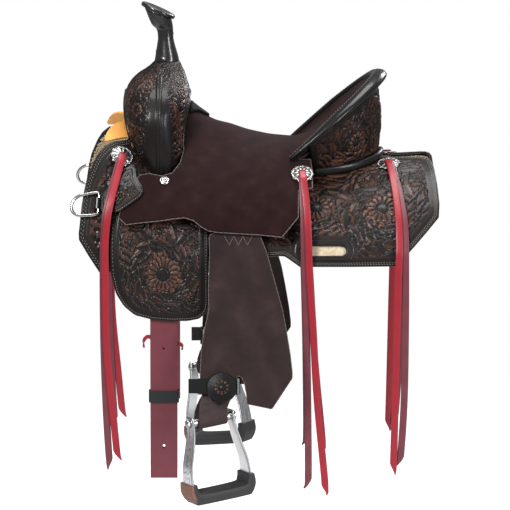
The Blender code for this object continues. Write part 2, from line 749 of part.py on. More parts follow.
def make_horn():
    """The steel horn core, the leather wrapped round its neck, and the stitched cap."""
    neck = HORN_NECK
    link("horn_core", to_mesh("horn_core", horn_core(0.0, 0.0)), STEEL, SADDLE)

    lowest = SWELL_LEVELS[-1][0] + FIT_GAP
    rings = [horn_ring((lowest, *neck[0][1:]))]
    rings += [horn_ring(level) for level in neck[1:]]
    rings += [horn_ring(level) for level in HORN_FLARE[:1]]
    gap = FIT_GAP
    under = -HORN_CAP_THICKNESS / 2 - gap
    tilt = math.radians(HORN_CAP_TILT)
    top = []
    for i in range(20):
        angle = 2 * math.pi * i / 20
        along, across = 25.5 * math.cos(angle) + 1, 23.5 * math.sin(angle)
        top.append(Vector((
            HORN_CAP_CENTRE[0] + along * math.cos(tilt) + under * math.sin(tilt),
            across,
            HORN_CAP_CENTRE[1] - along * math.sin(tilt) + under * math.cos(tilt),
        )))
    rings.append(top)
    wrap = link("horn_wrap", to_mesh("horn_wrap", loft(rings)), BLACK, SADDLE)
    add_boolean(wrap, HORN_SOCKET)

    half = HORN_CAP_THICKNESS / 2
    cap = [cap_ring(-half, -1.8), cap_ring(-half + 2, 0), cap_ring(half - 2.4, 0), cap_ring(half, -3.0)]
    link("horn_cap", to_mesh("horn_cap", loft(cap)), BLACK, SADDLE)


def seat_sheet():
    """The face of the seat: a grid over the jockeys, and a dish fanned up to the cantle's roll."""
    bm = bmesh.new()
    seam_angle = math.asin(SEAT_SEAM_HALF_WIDTH / SEAT_HALF_WIDTH)
    dish_count = 12
    dish_angles = [math.radians(-90 + 180 * i / dish_count) for i in range(dish_count + 1)]
    inner_ys = [SEAT_SEAM_HALF_WIDTH * math.sin(angle) for angle in dish_angles]
    flap_step = (math.radians(88) - seam_angle) / 6
    flap = [SEAT_HALF_WIDTH * math.sin(seam_angle + flap_step * i) for i in range(1, 7)]
    ys = [-y for y in flap[::-1]] + inner_ys + flap
    xs = [-262, -235, -205, -175, -150, -128, -106, -80, -52, -24, 6, 34, SEAT_SEAM_X]
    grid = [[bm.verts.new((x, y, seat_height(x, y))) for y in ys] for x in xs]
    for row, after in zip(grid, grid[1:]):
        for i in range(len(ys) - 1):
            bm.faces.new((row[i], after[i], after[i + 1], row[i + 1]))
    end_x = 110.0
    for chosen in (range(0, 7), range(len(ys) - 7, len(ys))):
        chosen = list(chosen)
        last = {i: bm.verts.new((end_x, ys[i], seat_height(end_x, ys[i]))) for i in chosen}
        for i, j in zip(chosen, chosen[1:]):
            bm.faces.new((grid[-1][i], last[i], last[j], grid[-1][j]))
    seam = grid[-1][len(flap):len(flap) + dish_count + 1]
    steps = 7
    rows = [seam]
    for step in range(1, steps + 1):
        share = step / steps
        row = []
        for i, start in enumerate(seam):
            if i in (0, dish_count):
                row.append(start)
                continue
            angle = dish_angles[i]
            rim = rim_point(angle, -roll_radius(angle) - ROLL_CLEAR)
            out = min(abs(rim.y), SEAT_SEAM_HALF_WIDTH * abs(math.sin(angle)) + 3)
            end = Vector((rim.x, math.copysign(out, angle), rim.z))
            place = start.co.lerp(end, share)
            place.z = start.co.z + (end.z - start.co.z) * share**DISH_HOLLOW
            row.append(bm.verts.new(place))
        rows.append(row)
    for first, second in zip(rows, rows[1:]):
        for i in range(dish_count):
            corners = [first[i], second[i], second[i + 1], first[i + 1]]
            kept = []
            for vert in corners:
                if vert not in kept:
                    kept.append(vert)
            bm.faces.new(kept)
    face_out(bm, lambda face: face.normal.z)
    return bm


def make_seat():
    """The rough-out seat and jockeys: one hide from the swell to the cantle's roll, over a ground seat."""
    mesh = modifier_mesh(to_mesh("seat", seat_sheet()), SEAT_THICKNESS, -1.0)
    seat = link("seat", mesh, SUEDE, SADDLE)
    add_boolean(seat, prism("seat_pattern", SEAT_OUTLINE, -280, 280, "y"), "INTERSECT")
    swell = [swell_ring((-30, *SWELL_LEVELS[0][1:]), LAYER_GAP)]
    swell += [swell_ring(level, LAYER_GAP) for level in SWELL_LEVELS]
    add_boolean(seat, hide(link("swell_room", to_mesh("swell_room", loft(swell)), None, CUTTERS)))

    bm = seat_sheet()
    bm.normal_update()
    for vert in bm.verts:
        vert.co -= vert.normal * (SEAT_THICKNESS + LAYER_GAP + FIT_GAP)
    mesh = modifier_mesh(to_mesh("ground_seat", bm), GROUND_SEAT_THICKNESS, -1.0)
    ground = link("ground_seat", mesh, BLACK, SADDLE)
    add_boolean(ground, cantle_inside(), "INTERSECT")
    add_boolean(ground, ROLL_ROOM)
    add_boolean(seat, ROLL_ROOM)


def cantle_inside():
    """A hidden cutter: the room between the cantle's back and a line across the seat."""
    rings = []
    half = math.radians(86)
    for share, rise in ((0, 60), (0, 0), (0.25, 0), (0.5, 0), (0.75, 0), (1, 0), (1, -60)):
        ring = []
        for i in range(19):
            angle = -half + 2 * half * i / 18
            place = cantle_wall(angle, share, -CANTLE_LEATHER - 4.0)
            place.y = math.copysign(min(abs(place.y), GROUND_SEAT_HALF_WIDTH), place.y)
            ring.append(place + Vector((0, 0, rise)))
        front = -90.0
        ring += [Vector((front, ring[-1].y, ring[-1].z)), Vector((front, ring[0].y, ring[0].z))]
        rings.append(ring)
    return hide(link("cantle_inside", to_mesh("cantle_inside", loft(rings)), None, CUTTERS))


def cantle_wall(angle, share, grow=0.0):
    """The cantle's back, from under the roll (share 0) down to the skirts (share 1)."""
    top = rim_point(angle, 2.0 + grow, roll_radius(angle) + 0.6)
    foot = base_point(angle, grow)
    place = top.lerp(foot, share)
    outward = Vector((math.cos(angle), math.sin(angle), 0))
    return place + outward * (WALL_BULGE * math.sin(math.pi * share) * math.cos(angle))


def roll_section(angle, grow=0.0):
    """The section of the roll, which hangs over the cantle's back."""
    outward = Vector((math.cos(angle), math.sin(angle), 0)).normalized()
    radius = roll_radius(angle)
    lip = ROLL_LIP * max(math.cos(angle), 0.0) ** 0.5
    return [
        rim_point(angle)
        + outward * (lip + (radius + lip + grow) * math.cos(2 * math.pi * k / 10))
        + Vector((0, 0, 1)) * ((radius + grow) * math.sin(2 * math.pi * k / 10))
        for k in range(10)
    ]


def make_cantle():
    """The tooled back, the rolled rim and the binding strip under the cantle."""
    steps = 22
    angles = [math.radians(-88 + 176 * i / steps) for i in range(steps + 1)]
    rows = [roll_section(angle) for angle in angles]
    link("cantle_roll", to_mesh("cantle_roll", loft(rows)), BLACK, SADDLE)

    end = math.radians(CANTLE_END_ANGLE)
    angles = [-end + 2 * end * i / steps for i in range(steps + 1)]
    bm = bmesh.new()
    grid = [[bm.verts.new(cantle_wall(angle, share)) for share in WALL_SHARES] for angle in angles]
    for first, second in zip(grid, grid[1:]):
        for k in range(len(WALL_SHARES) - 1):
            bm.faces.new((first[k], second[k], second[k + 1], first[k + 1]))

    def looks_back(face):
        return face.normal.x + face.normal.y * math.copysign(1, face.calc_center_median().y)

    face_out(bm, looks_back)
    mesh = modifier_mesh(to_mesh("cantle_back", bm), CANTLE_LEATHER, -1.0)
    add_boolean(link("cantle_back", mesh, TOOLED, SADDLE), ROLL_ROOM)

    rows = []
    gap = FIT_GAP + ROLL_CLEAR
    for angle in angles:
        outward = Vector((math.cos(angle), math.sin(angle), 0)).normalized()
        inner, outer = base_point(angle, gap), base_point(angle, gap + BINDING_WIDTH)
        share = 1 - BINDING_HEIGHT / (rim_point(angle).z - inner.z)
        top = cantle_wall(angle, share) + outward * gap
        top.z = inner.z + BINDING_HEIGHT
        beside = top + outward * (BINDING_WIDTH * 0.7)
        rows.append([inner, outer, outer.lerp(beside, 0.8), top.lerp(beside, 0.6), top])
    link("cantle_binding", to_mesh("cantle_binding", loft(rows)), BLACK, SADDLE)


def make_skirts():
    """The skirts with their rigging slots, the fleece under them and the panels over them."""
    pattern = [p for p in side_pattern(SKIRT_OUTLINE, SKIRT_FACE, closed=False) if p[1] > SKIRT_SPINE_GAP]
    pattern += list(SKIRT_TOP_EDGE)
    slot_x = (SLOT_START_X + SLOT_END_X) / 2
    slot = rounded_box_loop(SLOT_END_X - SLOT_START_X, SLOT_HEIGHT, SLOT_HEIGHT / 2 - 0.5, 5)
    slot = [(slot_x + a, SLOT_Z + b) for a, b in slot]
    skirts = laid_pair("skirt", pattern, -SKIRT_THICKNESS, SKIRT_THICKNESS, TOOLED)
    under = -SKIRT_THICKNESS - LAYER_GAP - FLEECE_THICKNESS
    fleeces = laid_pair("fleece", shrink(pattern, FLEECE_MARGIN), under, FLEECE_THICKNESS, WOOL)
    for side, label in SIDES:
        low, high = sorted((side * 120.0, side * 260.0))
        cutter = prism(f"{label}_slot", slot, low, high, "y")
        add_boolean(skirts[side], cutter)
        add_boolean(fleeces[side], cutter)
    panel = side_pattern(PANEL_OUTLINE, PANEL_FACE)
    laid_pair("rigging_panel", panel, LAYER_GAP, PANEL_THICKNESS, TOOLED)


def shrink(pattern, margin):
    """The pattern drawn in by a margin, square to its edges."""
    count = len(pattern)
    area = sum(
        pattern[i][0] * pattern[(i + 1) % count][1] - pattern[(i + 1) % count][0] * pattern[i][1]
        for i in range(count)
    )
    way = math.copysign(1, area)
    made = []
    for i in range(count):
        before, here, after = pattern[i - 1], pattern[i], pattern[(i + 1) % count]
        run = Vector((after[0] - before[0], after[1] - before[1])).normalized()
        made.append((here[0] - way * run.y * margin, here[1] + way * run.x * margin))
    return made


def make_rigging():
    """Strap, ring and latigo of each side. The latigo is folded over the ring's lower bar."""
    ring_bottom_z = RING_TOP_Z - RING_HEIGHT + RING_WIRE
    wire = RING_WIRE / 2
    for side, label in SIDES:
        corners = [
            (RING_X + a, RING_OUT, (RING_TOP_Z + ring_bottom_z) / 2 + b)
            for a, b in rounded_box_loop(RING_WIDTH - RING_WIRE, RING_HEIGHT - RING_WIRE, 13.0, 4)
        ]
        ring = to_mesh("rigging_ring", wire_ring(corners, wire), side=side)
        link(f"{label}_rigging_ring", ring, STEEL, SADDLE)

        half = RIGGING_STRAP_THICKNESS / 2
        plumb = BACK_HALF_WIDTH + PANEL_FROM - LAYER_GAP - half
        bend = wire + RING_ROOM + half
        path = [(plumb, RIGGING_STRAP_TOP_Z), (plumb, RING_TOP_Z + 12)]
        path += arc((RING_OUT, RING_TOP_Z), bend, 20, -190, 9)
        path += [(RING_OUT - bend + 1.5, RING_TOP_Z + 9), (RING_OUT - bend + 4, RIGGING_STRAP_TOP_Z)]
        bm = path_strap(path, RIGGING_STRAP_WIDTH, RIGGING_STRAP_THICKNESS, RING_X)
        link(f"{label}_rigging_strap", to_mesh("rigging_strap", bm, side=side), BLACK, SADDLE)

        bottom = LATIGO_BOTTOM_Z if side == NEAR else BILLET_BOTTOM_Z
        bend = wire + RING_ROOM + LATIGO_THICKNESS / 2
        path = [(RING_OUT + bend, bottom)]
        path += [(RING_OUT + bend, z) for z in (-483, -392, -302, -262) if z > bottom + 10]
        path += arc((RING_OUT, ring_bottom_z), bend, 0, 180, 8)
        path += [(RING_OUT - bend, z) for z in (-262, -302, -392, -483) if z > bottom + 20]
        path.append((RING_OUT - bend, bottom + 14))
        name = "near_latigo" if side == NEAR else "off_billet"
        origin = (RING_X, side * RING_OUT, ring_bottom_z)
        bm = path_strap(path, LATIGO_WIDTH, LATIGO_THICKNESS, RING_X)
        strap = link(name, to_mesh(name, bm, origin, side), LATIGO, SADDLE, origin)
        for number, z in enumerate(LATIGO_HOLES_Z):
            if z < bottom + 20:
                continue
            hole = rounded_box_loop(LATIGO_HOLE, LATIGO_HOLE * 1.6, LATIGO_HOLE / 2 - 0.1, 3)
            hole = [(RING_X + a, z + b) for a, b in hole]
            low, high = sorted((side * (RING_OUT - 20), side * (RING_OUT + 20)))
            add_boolean(strap, prism(f"{name}_hole_{number}", hole, low, high, "y"))
        if side == NEAR:
            make_keeper(label, side, bend)


def make_keeper(label, side, bend):
    """The band that slides on the doubled latigo."""
    depth = 2 * bend + LATIGO_THICKNESS + 2 * FIT_GAP
    outer = rounded_box_loop(LATIGO_WIDTH + 2 * FIT_GAP + 2 * KEEPER_WALL, depth + 2 * KEEPER_WALL, 4.0, 3)
    inner = rounded_box_loop(LATIGO_WIDTH + 2 * FIT_GAP, depth, 1.2, 3)
    bm = tube_of(outer, inner, KEEPER_Z - KEEPER_HEIGHT / 2, KEEPER_Z + KEEPER_HEIGHT / 2, (RING_X, RING_OUT))
    origin = (RING_X, side * RING_OUT, KEEPER_Z)
    mesh = to_mesh("keeper", bm, origin, side)
    link(f"{label}_latigo_keeper", mesh, RUBBER, SADDLE, origin)


def tube_of(outer, inner, low, high, centre):
    """A straight tube along Z between two outlines with the same number of points."""
    bm = bmesh.new()
    rows = []
    for outline, z in ((outer, low), (outer, high), (inner, high), (inner, low)):
        rows.append([bm.verts.new((centre[0] + a, centre[1] + b, z)) for a, b in outline])
    count = len(outer)
    for first, second in zip(rows, rows[1:] + rows[:1]):
        for i in range(count):
            j = (i + 1) % count
            bm.faces.new((first[i], first[j], second[j], second[i]))
    bmesh.ops.recalc_face_normals(bm, faces=bm.faces)
    return bm


def hang(x, depth, height):
    """A point of the fender's leaning plane: depth outwards from its inner face, height from the pivot."""
    lean = math.radians(FENDER_LEAN)
    return Vector((
        x,
        FENDER_PIVOT_OUT + depth * math.cos(lean) - height * math.sin(lean),
        FENDER_PIVOT_Z + depth * math.sin(lean) + height * math.cos(lean),
    ))


def hang_matrix():
    """Turns (x, depth, height) into place, as hang does."""
    lean = math.radians(FENDER_LEAN)
    c, s = math.cos(lean), math.sin(lean)
    return Matrix((
        (1, 0, 0, 0),
        (0, c, -s, FENDER_PIVOT_OUT),
        (0, s, c, FENDER_PIVOT_Z),
        (0, 0, 0, 1),
    ))


def fender_origin(side):
    return (FENDER_PIVOT_X, side * FENDER_PIVOT_OUT, FENDER_PIVOT_Z)


def bolt_frame():
    """The off stirrup bolt: its middle, its way to the front, across it, and the stirrup's way down."""
    middle = hang(BOLT_X, -BOLT_BEHIND, BOLT_HEIGHT)
    yaw, roll = math.radians(STIRRUP_YAW), math.radians(STIRRUP_ROLL)
    along = Vector((-math.cos(yaw) * math.cos(roll), math.sin(yaw) * math.cos(roll), -math.sin(roll)))
    down = (Vector((0, 0, -1)) - along * along.dot(Vector((0, 0, -1)))).normalized()
    across = down.cross(along).normalized()
    return middle, along, across, down


def flat_plate(outline, low, high):
    """An outline in (x, height) between two depths, as a closed solid before it is hung."""
    return loft([[Vector((x, depth, h)) for x, h in outline] for depth in (low, high)])


def leather_x(height):
    """Where the middle of the stirrup leather lies at a height of the fender's plane."""
    share = (height - LEATHER_TOP) / (TWIST_STARTS - LEATHER_TOP)
    return STIRRUP_LEATHER_TOP_X + (STIRRUP_LEATHER_X - STIRRUP_LEATHER_TOP_X) * share


def make_fenders():
    """Fender, stirrup leather, buckle and hobble strap, which swing together."""
    to_height = 1 / math.cos(math.radians(FENDER_LEAN))
    middle, along, across, down = bolt_frame()
    face = hang(0, 1, 0) - hang(0, 0, 0)
    level = Vector((1, 0, 0))
    outward = across if across.y > 0 else -across
    half = FENDER_THICKNESS / 2
    second = FRONT_LAYER - FENDER_THICKNESS - FIT_GAP * 2
    for side, label in SIDES:
        origin = fender_origin(side)
        outline = [(x, z * to_height) for x, z in FENDER_OUTLINE]
        bm = flat_plate(outline, 0.0, FENDER_THICKNESS)
        bmesh.ops.transform(bm, matrix=hang_matrix(), verts=bm.verts)
        link(f"{label}_fender", to_mesh("fender", bm, origin, side), SUEDE, SADDLE, origin)

        stations = [
            (hang(leather_x(height), FRONT_LAYER, height), level, face)
            for height in (LEATHER_TOP, -240.0, TWIST_STARTS)
        ]
        top_in = hang(STIRRUP_LEATHER_X, second, TWIST_STARTS)
        top_out = stations[-1][0]
        start, end = middle + outward * LEATHER_BEND, middle - outward * LEATHER_BEND
        for height, share, _ in TWIST:
            way = (height - TWIST_STARTS) / (BOLT_HEIGHT - TWIST_STARTS)
            place = top_out.lerp(start, way)
            place.x = top_out.x + (start.x - top_out.x) * share
            stations.append((place, level.lerp(-along, share).normalized(), face))
        for degrees in range(0, 181, 20):
            turn = math.radians(degrees)
            radial = outward * math.cos(turn) + down * math.sin(turn)
            stations.append((middle + radial * LEATHER_BEND, -along, radial))
        for height, share, part_way in TWIST[::-1]:
            way = (height - TWIST_STARTS) / (BOLT_HEIGHT - TWIST_STARTS)
            place = top_in.lerp(end, way) + face * ((way - part_way) * (end - top_in).dot(-face))
            place.x = top_in.x + (end.x - top_in.x) * share
            stations.append((place, level.lerp(-along, share).normalized(), -face))
        for height in (TWIST_STARTS, LEATHER_END):
            stations.append((hang(leather_x(height), second, height), level, -face))
        rings = [strip_ring(p, w, STIRRUP_LEATHER_WIDTH / 2, half, t) for p, w, t in stations]
        mesh = to_mesh("stirrup_leather", loft(rings), origin, side)
        link(f"{label}_stirrup_leather", mesh, SUEDE, SADDLE, origin)

        make_hobble(label, side, origin, to_height, second - half - FIT_GAP * 4)
        make_upper_leather(label, side)


def make_hobble(label, side, origin, to_height, depth_in):
    """The strap round fender and leather above the stirrup, with its medallion, and the leather's buckle."""
    front, back = HOBBLE_FRONT_X, HOBBLE_BACK_X
    depth_out = FENDER_THICKNESS + FIT_GAP
    low = (HOBBLE_STRAP_Z - HOBBLE_STRAP_HEIGHT / 2) * to_height
    high = (HOBBLE_STRAP_Z + HOBBLE_STRAP_HEIGHT / 2) * to_height
    width, depth = back - front, depth_out - depth_in
    outer = rounded_box_loop(width + 2 * HOBBLE_WALL, depth + 2 * HOBBLE_WALL, 5.0, 3)
    inner = rounded_box_loop(width, depth, 2.0, 3)
    bm = tube_of(outer, inner, low, high, ((front + back) / 2, (depth_in + depth_out) / 2))
    bmesh.ops.transform(bm, matrix=hang_matrix(), verts=bm.verts)
    strap = link(f"{label}_hobble_strap", to_mesh("hobble_strap", bm, origin, side), BLACK, SADDLE, origin)

    face = depth_out + HOBBLE_WALL - 0.6
    centre = (HOBBLE_STRAP_Z - 3) * to_height
    disc = [
        circle((MEDALLION_X, face + d, centre), Vector((1, 0, 0)), Vector((0, 0, 1)), r, 24)
        for r, d in MEDALLION_DOME
    ]
    tab = [(HOBBLE_TAB_X, low + 1), (front + 2, low + 1), (front + 2, high - 1), (HOBBLE_TAB_X, high - 1)]
    strap_end = flat_plate(tab, depth_out - HOBBLE_WALL, depth_out + HOBBLE_WALL / 2)
    for name, shape in (("medallion", loft(disc)), ("strap_end", strap_end)):
        bmesh.ops.transform(shape, matrix=hang_matrix(), verts=shape.verts)
        more = link(f"{label}_{name}", to_mesh(name, shape, origin, side), None, CUTTERS, origin)
        add_boolean(strap, hide(more), "UNION")

    loop = rounded_box_loop(STIRRUP_LEATHER_WIDTH + 12, 34, 5, 3)
    height = BUCKLE_Z * to_height
    depth = depth_in + 3 * FIT_GAP - BUCKLE_WIRE
    corners = [(leather_x(height) + a, depth, height + b) for a, b in loop]
    bm = wire_ring(corners, BUCKLE_WIRE, 6)
    bmesh.ops.transform(bm, matrix=hang_matrix(), verts=bm.verts)
    link(f"{label}_leather_buckle", to_mesh("leather_buckle", bm, origin, side), STEEL, SADDLE, origin)


def make_upper_leather(label, side):
    """The stirrup leather where it goes over the bar, under the jockey."""
    half = FENDER_THICKNESS / 2
    x = STIRRUP_LEATHER_TOP_X
    over_bar = BAR_FROM + BAR_THICKNESS + BAR_LEATHER_ROOM + half
    stations = []
    for way in (60, 76, 92, 108, 122):
        place = on_back(x, way, over_bar)
        level = (on_back(x + 20, way, over_bar) - on_back(x - 20, way, over_bar)).normalized()
        run = on_back(x, way + 4, over_bar) - on_back(x, way - 4, over_bar)
        stations.append((place, level, level.cross(run).normalized()))
    ends = [Vector((x, out, z)) for out, z in BAR_LEATHER_PATH]
    behind = FRONT_LAYER - FENDER_THICKNESS - FIT_GAP
    ends += [hang(x, behind, height) for height in BAR_LEATHER_ENDS]
    for i, place in enumerate(ends):
        run = ends[min(i + 1, len(ends) - 1)] - (ends[i - 1] if i else stations[-1][0])
        if i == len(ends) - 2:
            run = ends[-1] - place
        stations.append((place, Vector((1, 0, 0)), Vector((1, 0, 0)).cross(run).normalized()))
    bm = loft([strip_ring(p, w, STIRRUP_LEATHER_WIDTH / 2, half, t) for p, w, t in stations])
    link(f"{label}_bar_leather", to_mesh("bar_leather", bm, side=side), SUEDE, SADDLE)


def make_stirrups():
    """Aluminium stirrup, its bolt with a roller, and the stitched tread."""
    middle, along, across, down = bolt_frame()
    for side, label in SIDES:
        origin = Vector((middle.x, side * middle.y, middle.z))

        def place(a, b, c):
            return middle + along * a + across * b + down * c

        profile = stirrup_profile()
        rings = []
        for i, (a, c, width) in enumerate(profile):
            before, after = profile[max(i - 1, 0)], profile[min(i + 1, len(profile) - 1)]
            run = Vector((after[0] - before[0], after[1] - before[1])).normalized()
            normal = Vector((run.y, -run.x))
            half = BRANCH_THICKNESS / 2
            inner = (a - normal.x * half, c - normal.y * half)
            outer = (a + normal.x * half, c + normal.y * half)
            w = width / 2
            rings.append([
                place(inner[0], -w, inner[1]), place(inner[0], w, inner[1]),
                place(a * 0.3 + outer[0] * 0.7, w + 1.0, c * 0.3 + outer[1] * 0.7),
                place(outer[0], w * 0.6, outer[1]), place(outer[0], -w * 0.6, outer[1]),
                place(a * 0.3 + outer[0] * 0.7, -w - 1.0, c * 0.3 + outer[1] * 0.7),
            ])
        bm = loft(rings)
        stirrup = link(f"{label}_stirrup", to_mesh("stirrup", bm, origin, side), ALUMINIUM, SADDLE, origin)
        reach = BRANCH_TOP_SPREAD + 12
        radius = BOLT_RADIUS + FIT_GAP
        bore = loft(rod_rings(middle, along, ((-reach, radius), (reach, radius))))
        name = f"{label}_bolt_room"
        add_boolean(stirrup, hide(link(name, to_mesh(name, bore, side=side), None, CUTTERS)))
        make_bolt(label, side, origin, middle, along)
        make_tread(label, side, origin, place)


def stirrup_profile():
    """The stirrup's middle line, from the front branch's top round to the rear one's, with its width."""
    top, drop = -STIRRUP_ABOVE_BOLT, STIRRUP_DROP
    high, low = BRANCH_TOP_SPREAD, BRANCH_BOTTOM_SPREAD
    narrow, wide = BRANCH_TOP_WIDTH, BRANCH_BOTTOM_WIDTH
    half = [
        (high, top, narrow), (high, 0, narrow + 2), (high + 2, 22, narrow + 5), (high + 8, 50, narrow + 10),
        (high + 15, 78, wide - 4), (low - 3, 102, wide), (low - 3, drop - 12, wide),
        (low - 9, drop - 3, wide), (low - 20, drop, wide),
    ]
    return half + [(-a, c, w) for a, c, w in half[::-1]]


def rod_rings(middle, along, levels, sides=16):
    """Rings round a direction, one for each (distance along it, radius)."""
    across = along.cross(Vector((0, 0, 1))).normalized()
    other = along.cross(across).normalized()
    turns = [2 * math.pi * k / sides for k in range(sides)]
    return [
        [middle + along * reach + (across * math.cos(t) + other * math.sin(t)) * radius for t in turns]
        for reach, radius in levels
    ]


def make_bolt(label, side, origin, middle, along):
    """A bolt with round heads outside the branches and a roller between them."""
    inside = BRANCH_TOP_SPREAD - BRANCH_THICKNESS / 2 - FIT_GAP
    outside = BRANCH_TOP_SPREAD + BRANCH_THICKNESS / 2 + FIT_GAP + 1.2
    crown, head = BOLT_RADIUS * 0.8, BOLT_RADIUS + 3
    half = [
        (inside, ROLLER_RADIUS), (inside, BOLT_RADIUS), (outside, BOLT_RADIUS), (outside, head),
        (outside + 3, head), (outside + 5, crown),
    ]
    levels = [(-reach, radius) for reach, radius in half[::-1]] + half
    mesh = to_mesh("stirrup_bolt", loft(rod_rings(middle, along, levels)), origin, side)
    link(f"{label}_stirrup_bolt", mesh, STEEL, SADDLE, origin)


def make_tread(label, side, origin, place):
    """The leather tread: a trough round the foot of the stirrup that turns up at both ends."""
    gap = FIT_GAP + 0.3
    spread, drop = BRANCH_BOTTOM_SPREAD, STIRRUP_DROP
    half = BRANCH_THICKNESS / 2
    outer = [
        (-spread - 2.5, drop - TREAD_UPTURN), (-spread - 3.5, drop - 8), (-spread + 5, drop + half + 5),
        (-spread + 18, drop + half + 8), (spread - 18, drop + half + 8), (spread - 5, drop + half + 5),
        (spread + 3.5, drop - 8), (spread + 2.5, drop - TREAD_UPTURN),
    ]
    inner = [
        (spread - 3 - half - gap - 2.4, drop - TREAD_UPTURN), (spread - 8 - half - gap, drop - 14),
        (spread - 22, drop - half - gap - 4), (-spread + 22, drop - half - gap - 4),
        (-spread + 8 + half + gap, drop - 14), (-spread + 3 + half + gap + 2.4, drop - TREAD_UPTURN),
    ]
    outline = outer + inner
    w = TREAD_WIDTH / 2
    bm = bmesh.new()
    rows = [[bm.verts.new(place(a, b, c)) for a, c in outline] for b in (-w, w)]
    for first, second in zip(rows, rows[1:]):
        for i in range(len(outline)):
            j = (i + 1) % len(outline)
            bm.faces.new((first[i], first[j], second[j], second[i]))
    bm.faces.new(rows[0][::-1])
    bm.faces.new(rows[-1])
    bmesh.ops.recalc_face_normals(bm, faces=bm.faces)
    tread = link(f"{label}_tread", to_mesh("tread", bm, origin, side), RUBBER, SADDLE, origin)
    profile = stirrup_profile()
    rings = []
    for i, (a, c, width) in enumerate(profile):
        before, after = profile[max(i - 1, 0)], profile[min(i + 1, len(profile) - 1)]
        run = Vector((after[0] - before[0], after[1] - before[1])).normalized()
        normal = Vector((run.y, -run.x))
        reach = half + gap
        room = width / 2 + gap + 1.2
        inner_at = (a - normal.x * reach, c - normal.y * reach)
        outer_at = (a + normal.x * reach, c + normal.y * reach)
        rings.append([place(*p) for p in (
            (inner_at[0], -room, inner_at[1]), (inner_at[0], room, inner_at[1]),
            (outer_at[0], room, outer_at[1]), (outer_at[0], -room, outer_at[1]),
        )])
    room = hide(link(f"{label}_stirrup_room", to_mesh("stirrup_room", loft(rings), side=side), None, CUTTERS))
    add_boolean(tread, room)


def tab_out(x, z, offset):
    """The dee tab lies on the seat's front corner and comes down onto the skirt towards the front."""
    share = min(max((x - TAB_FRONT_X) / (TAB_BACK_X - TAB_FRONT_X), 0.0), 1.0)
    share = share * share * (3 - 2 * share)
    on_skirt = back_out(x, z, SKIRT_FACE + LAYER_GAP + offset)
    on_seat = seat_out(z, LAYER_GAP + offset)
    blend = on_skirt * (1 - share) + on_seat * share
    return max(blend, on_skirt, on_seat if x > SEAT_OUTLINE[0][0] - 6 else 0)


def make_dees():
    """The leather tab over the seat's front corner, and the dee ring it holds."""
    for side, label in SIDES:
        bm = cut_pattern(dense(list(TAB_OUTLINE), 16.0), range(-280, -200, 16), 14.0)
        for vert in bm.verts:
            x, z = vert.co.x, vert.co.y
            vert.co = Vector((x, tab_out(x, z, 1.0), z))
        face_out(bm, looks_out)
        mesh = modifier_mesh(to_mesh("dee_tab", bm, side=side), TAB_THICKNESS, 1.0)
        tab = link(f"{label}_dee_tab", mesh, BLACK, SADDLE)

        wire = DEE_WIRE / 2
        top_z, low_z = DEE_TOP_Z, DEE_TOP_Z - DEE_HEIGHT + DEE_WIRE
        lift = wire + FIT_GAP + DEE_LOOP_WALL + 1.6
        out_top = back_out(DEE_BAR_X, top_z, SKIRT_FACE) + lift
        out_low = back_out(DEE_BAR_X, low_z, SKIRT_FACE) + lift
        top = Vector((DEE_BAR_X, out_top, top_z))
        low = Vector((DEE_BAR_X - 2, out_low, low_z))
        bar = low - top
        bow = DEE_LENGTH - DEE_WIRE - bar.length / 2
        forward = Vector((-1, 0.12, -0.1)).normalized()
        points = [top, top + bar * 0.5, low]
        centre = (top + low) / 2 + forward * bow
        radius = bar.length / 2
        points += [
            centre + bar.normalized() * (radius * math.cos(t)) + forward * (radius * math.sin(t))
            for t in [math.pi * k / 8 for k in range(9)]
        ]
        origin = Vector(((top.x + low.x) / 2, side * (top.y + low.y) / 2, (top.z + low.z) / 2))
        mesh = to_mesh("dee_ring", wire_ring(points, wire), origin, side)
        link(f"{label}_dee_ring", mesh, SILVER, SADDLE, origin)

        middle, run = (top + low) / 2, bar.normalized()
        first = Vector((1, 0, 0)) - run * run.x
        first.normalize()
        second = run.cross(first)
        room = wire + FIT_GAP
        loop = (f"{label}_dee_loop", room + DEE_LOOP_WALL, DEE_LOOP_HEIGHT / 2, "UNION")
        bore = (f"{label}_dee_bore", room, DEE_HEIGHT, "DIFFERENCE")
        for name, radius, reach, operation in (loop, bore):
            rings = [circle(middle + run * end, first, second, radius, 16) for end in (-reach, reach)]
            cutter = link(name, to_mesh(name, loft(rings), side=side), None, CUTTERS)
            add_boolean(tab, hide(cutter), operation)


def circle(centre, first, second, radius, count):
    """Points of a circle in the plane of two directions."""
    turns = [2 * math.pi * i / count for i in range(count)]
    return [Vector(centre) + (first * math.cos(t) + second * math.sin(t)) * radius for t in turns]


def surface_frame(point, outward):
    """Axes of a disc that lies on a surface: its normal, and two directions in its plane."""
    normal = Vector(outward).normalized()
    first = Vector((1, 0, 0)) - normal * normal.x
    first.normalize()
    second = normal.cross(first)
    return Vector(point), normal, first, second


def make_concho(name, side, point, normal):
    """A scalloped, domed silver disc."""
    place, normal, first, second = surface_frame(point, normal)
    count = CONCHO_SCALLOPS * 2
    rings = []
    for share, height, depth in CONCHO_LEVELS:
        ring = circle((0, 0, 0), first, second, CONCHO_RADIUS * share / (1 + SCALLOP_DEPTH), count)
        scallops = [1 + depth * math.cos(math.pi * i) for i in range(count)]
        rings.append([place + point * scallop + normal * height for point, scallop in zip(ring, scallops)])
    link(name, to_mesh(name, loft(rings), side=side), SILVER, SADDLE)


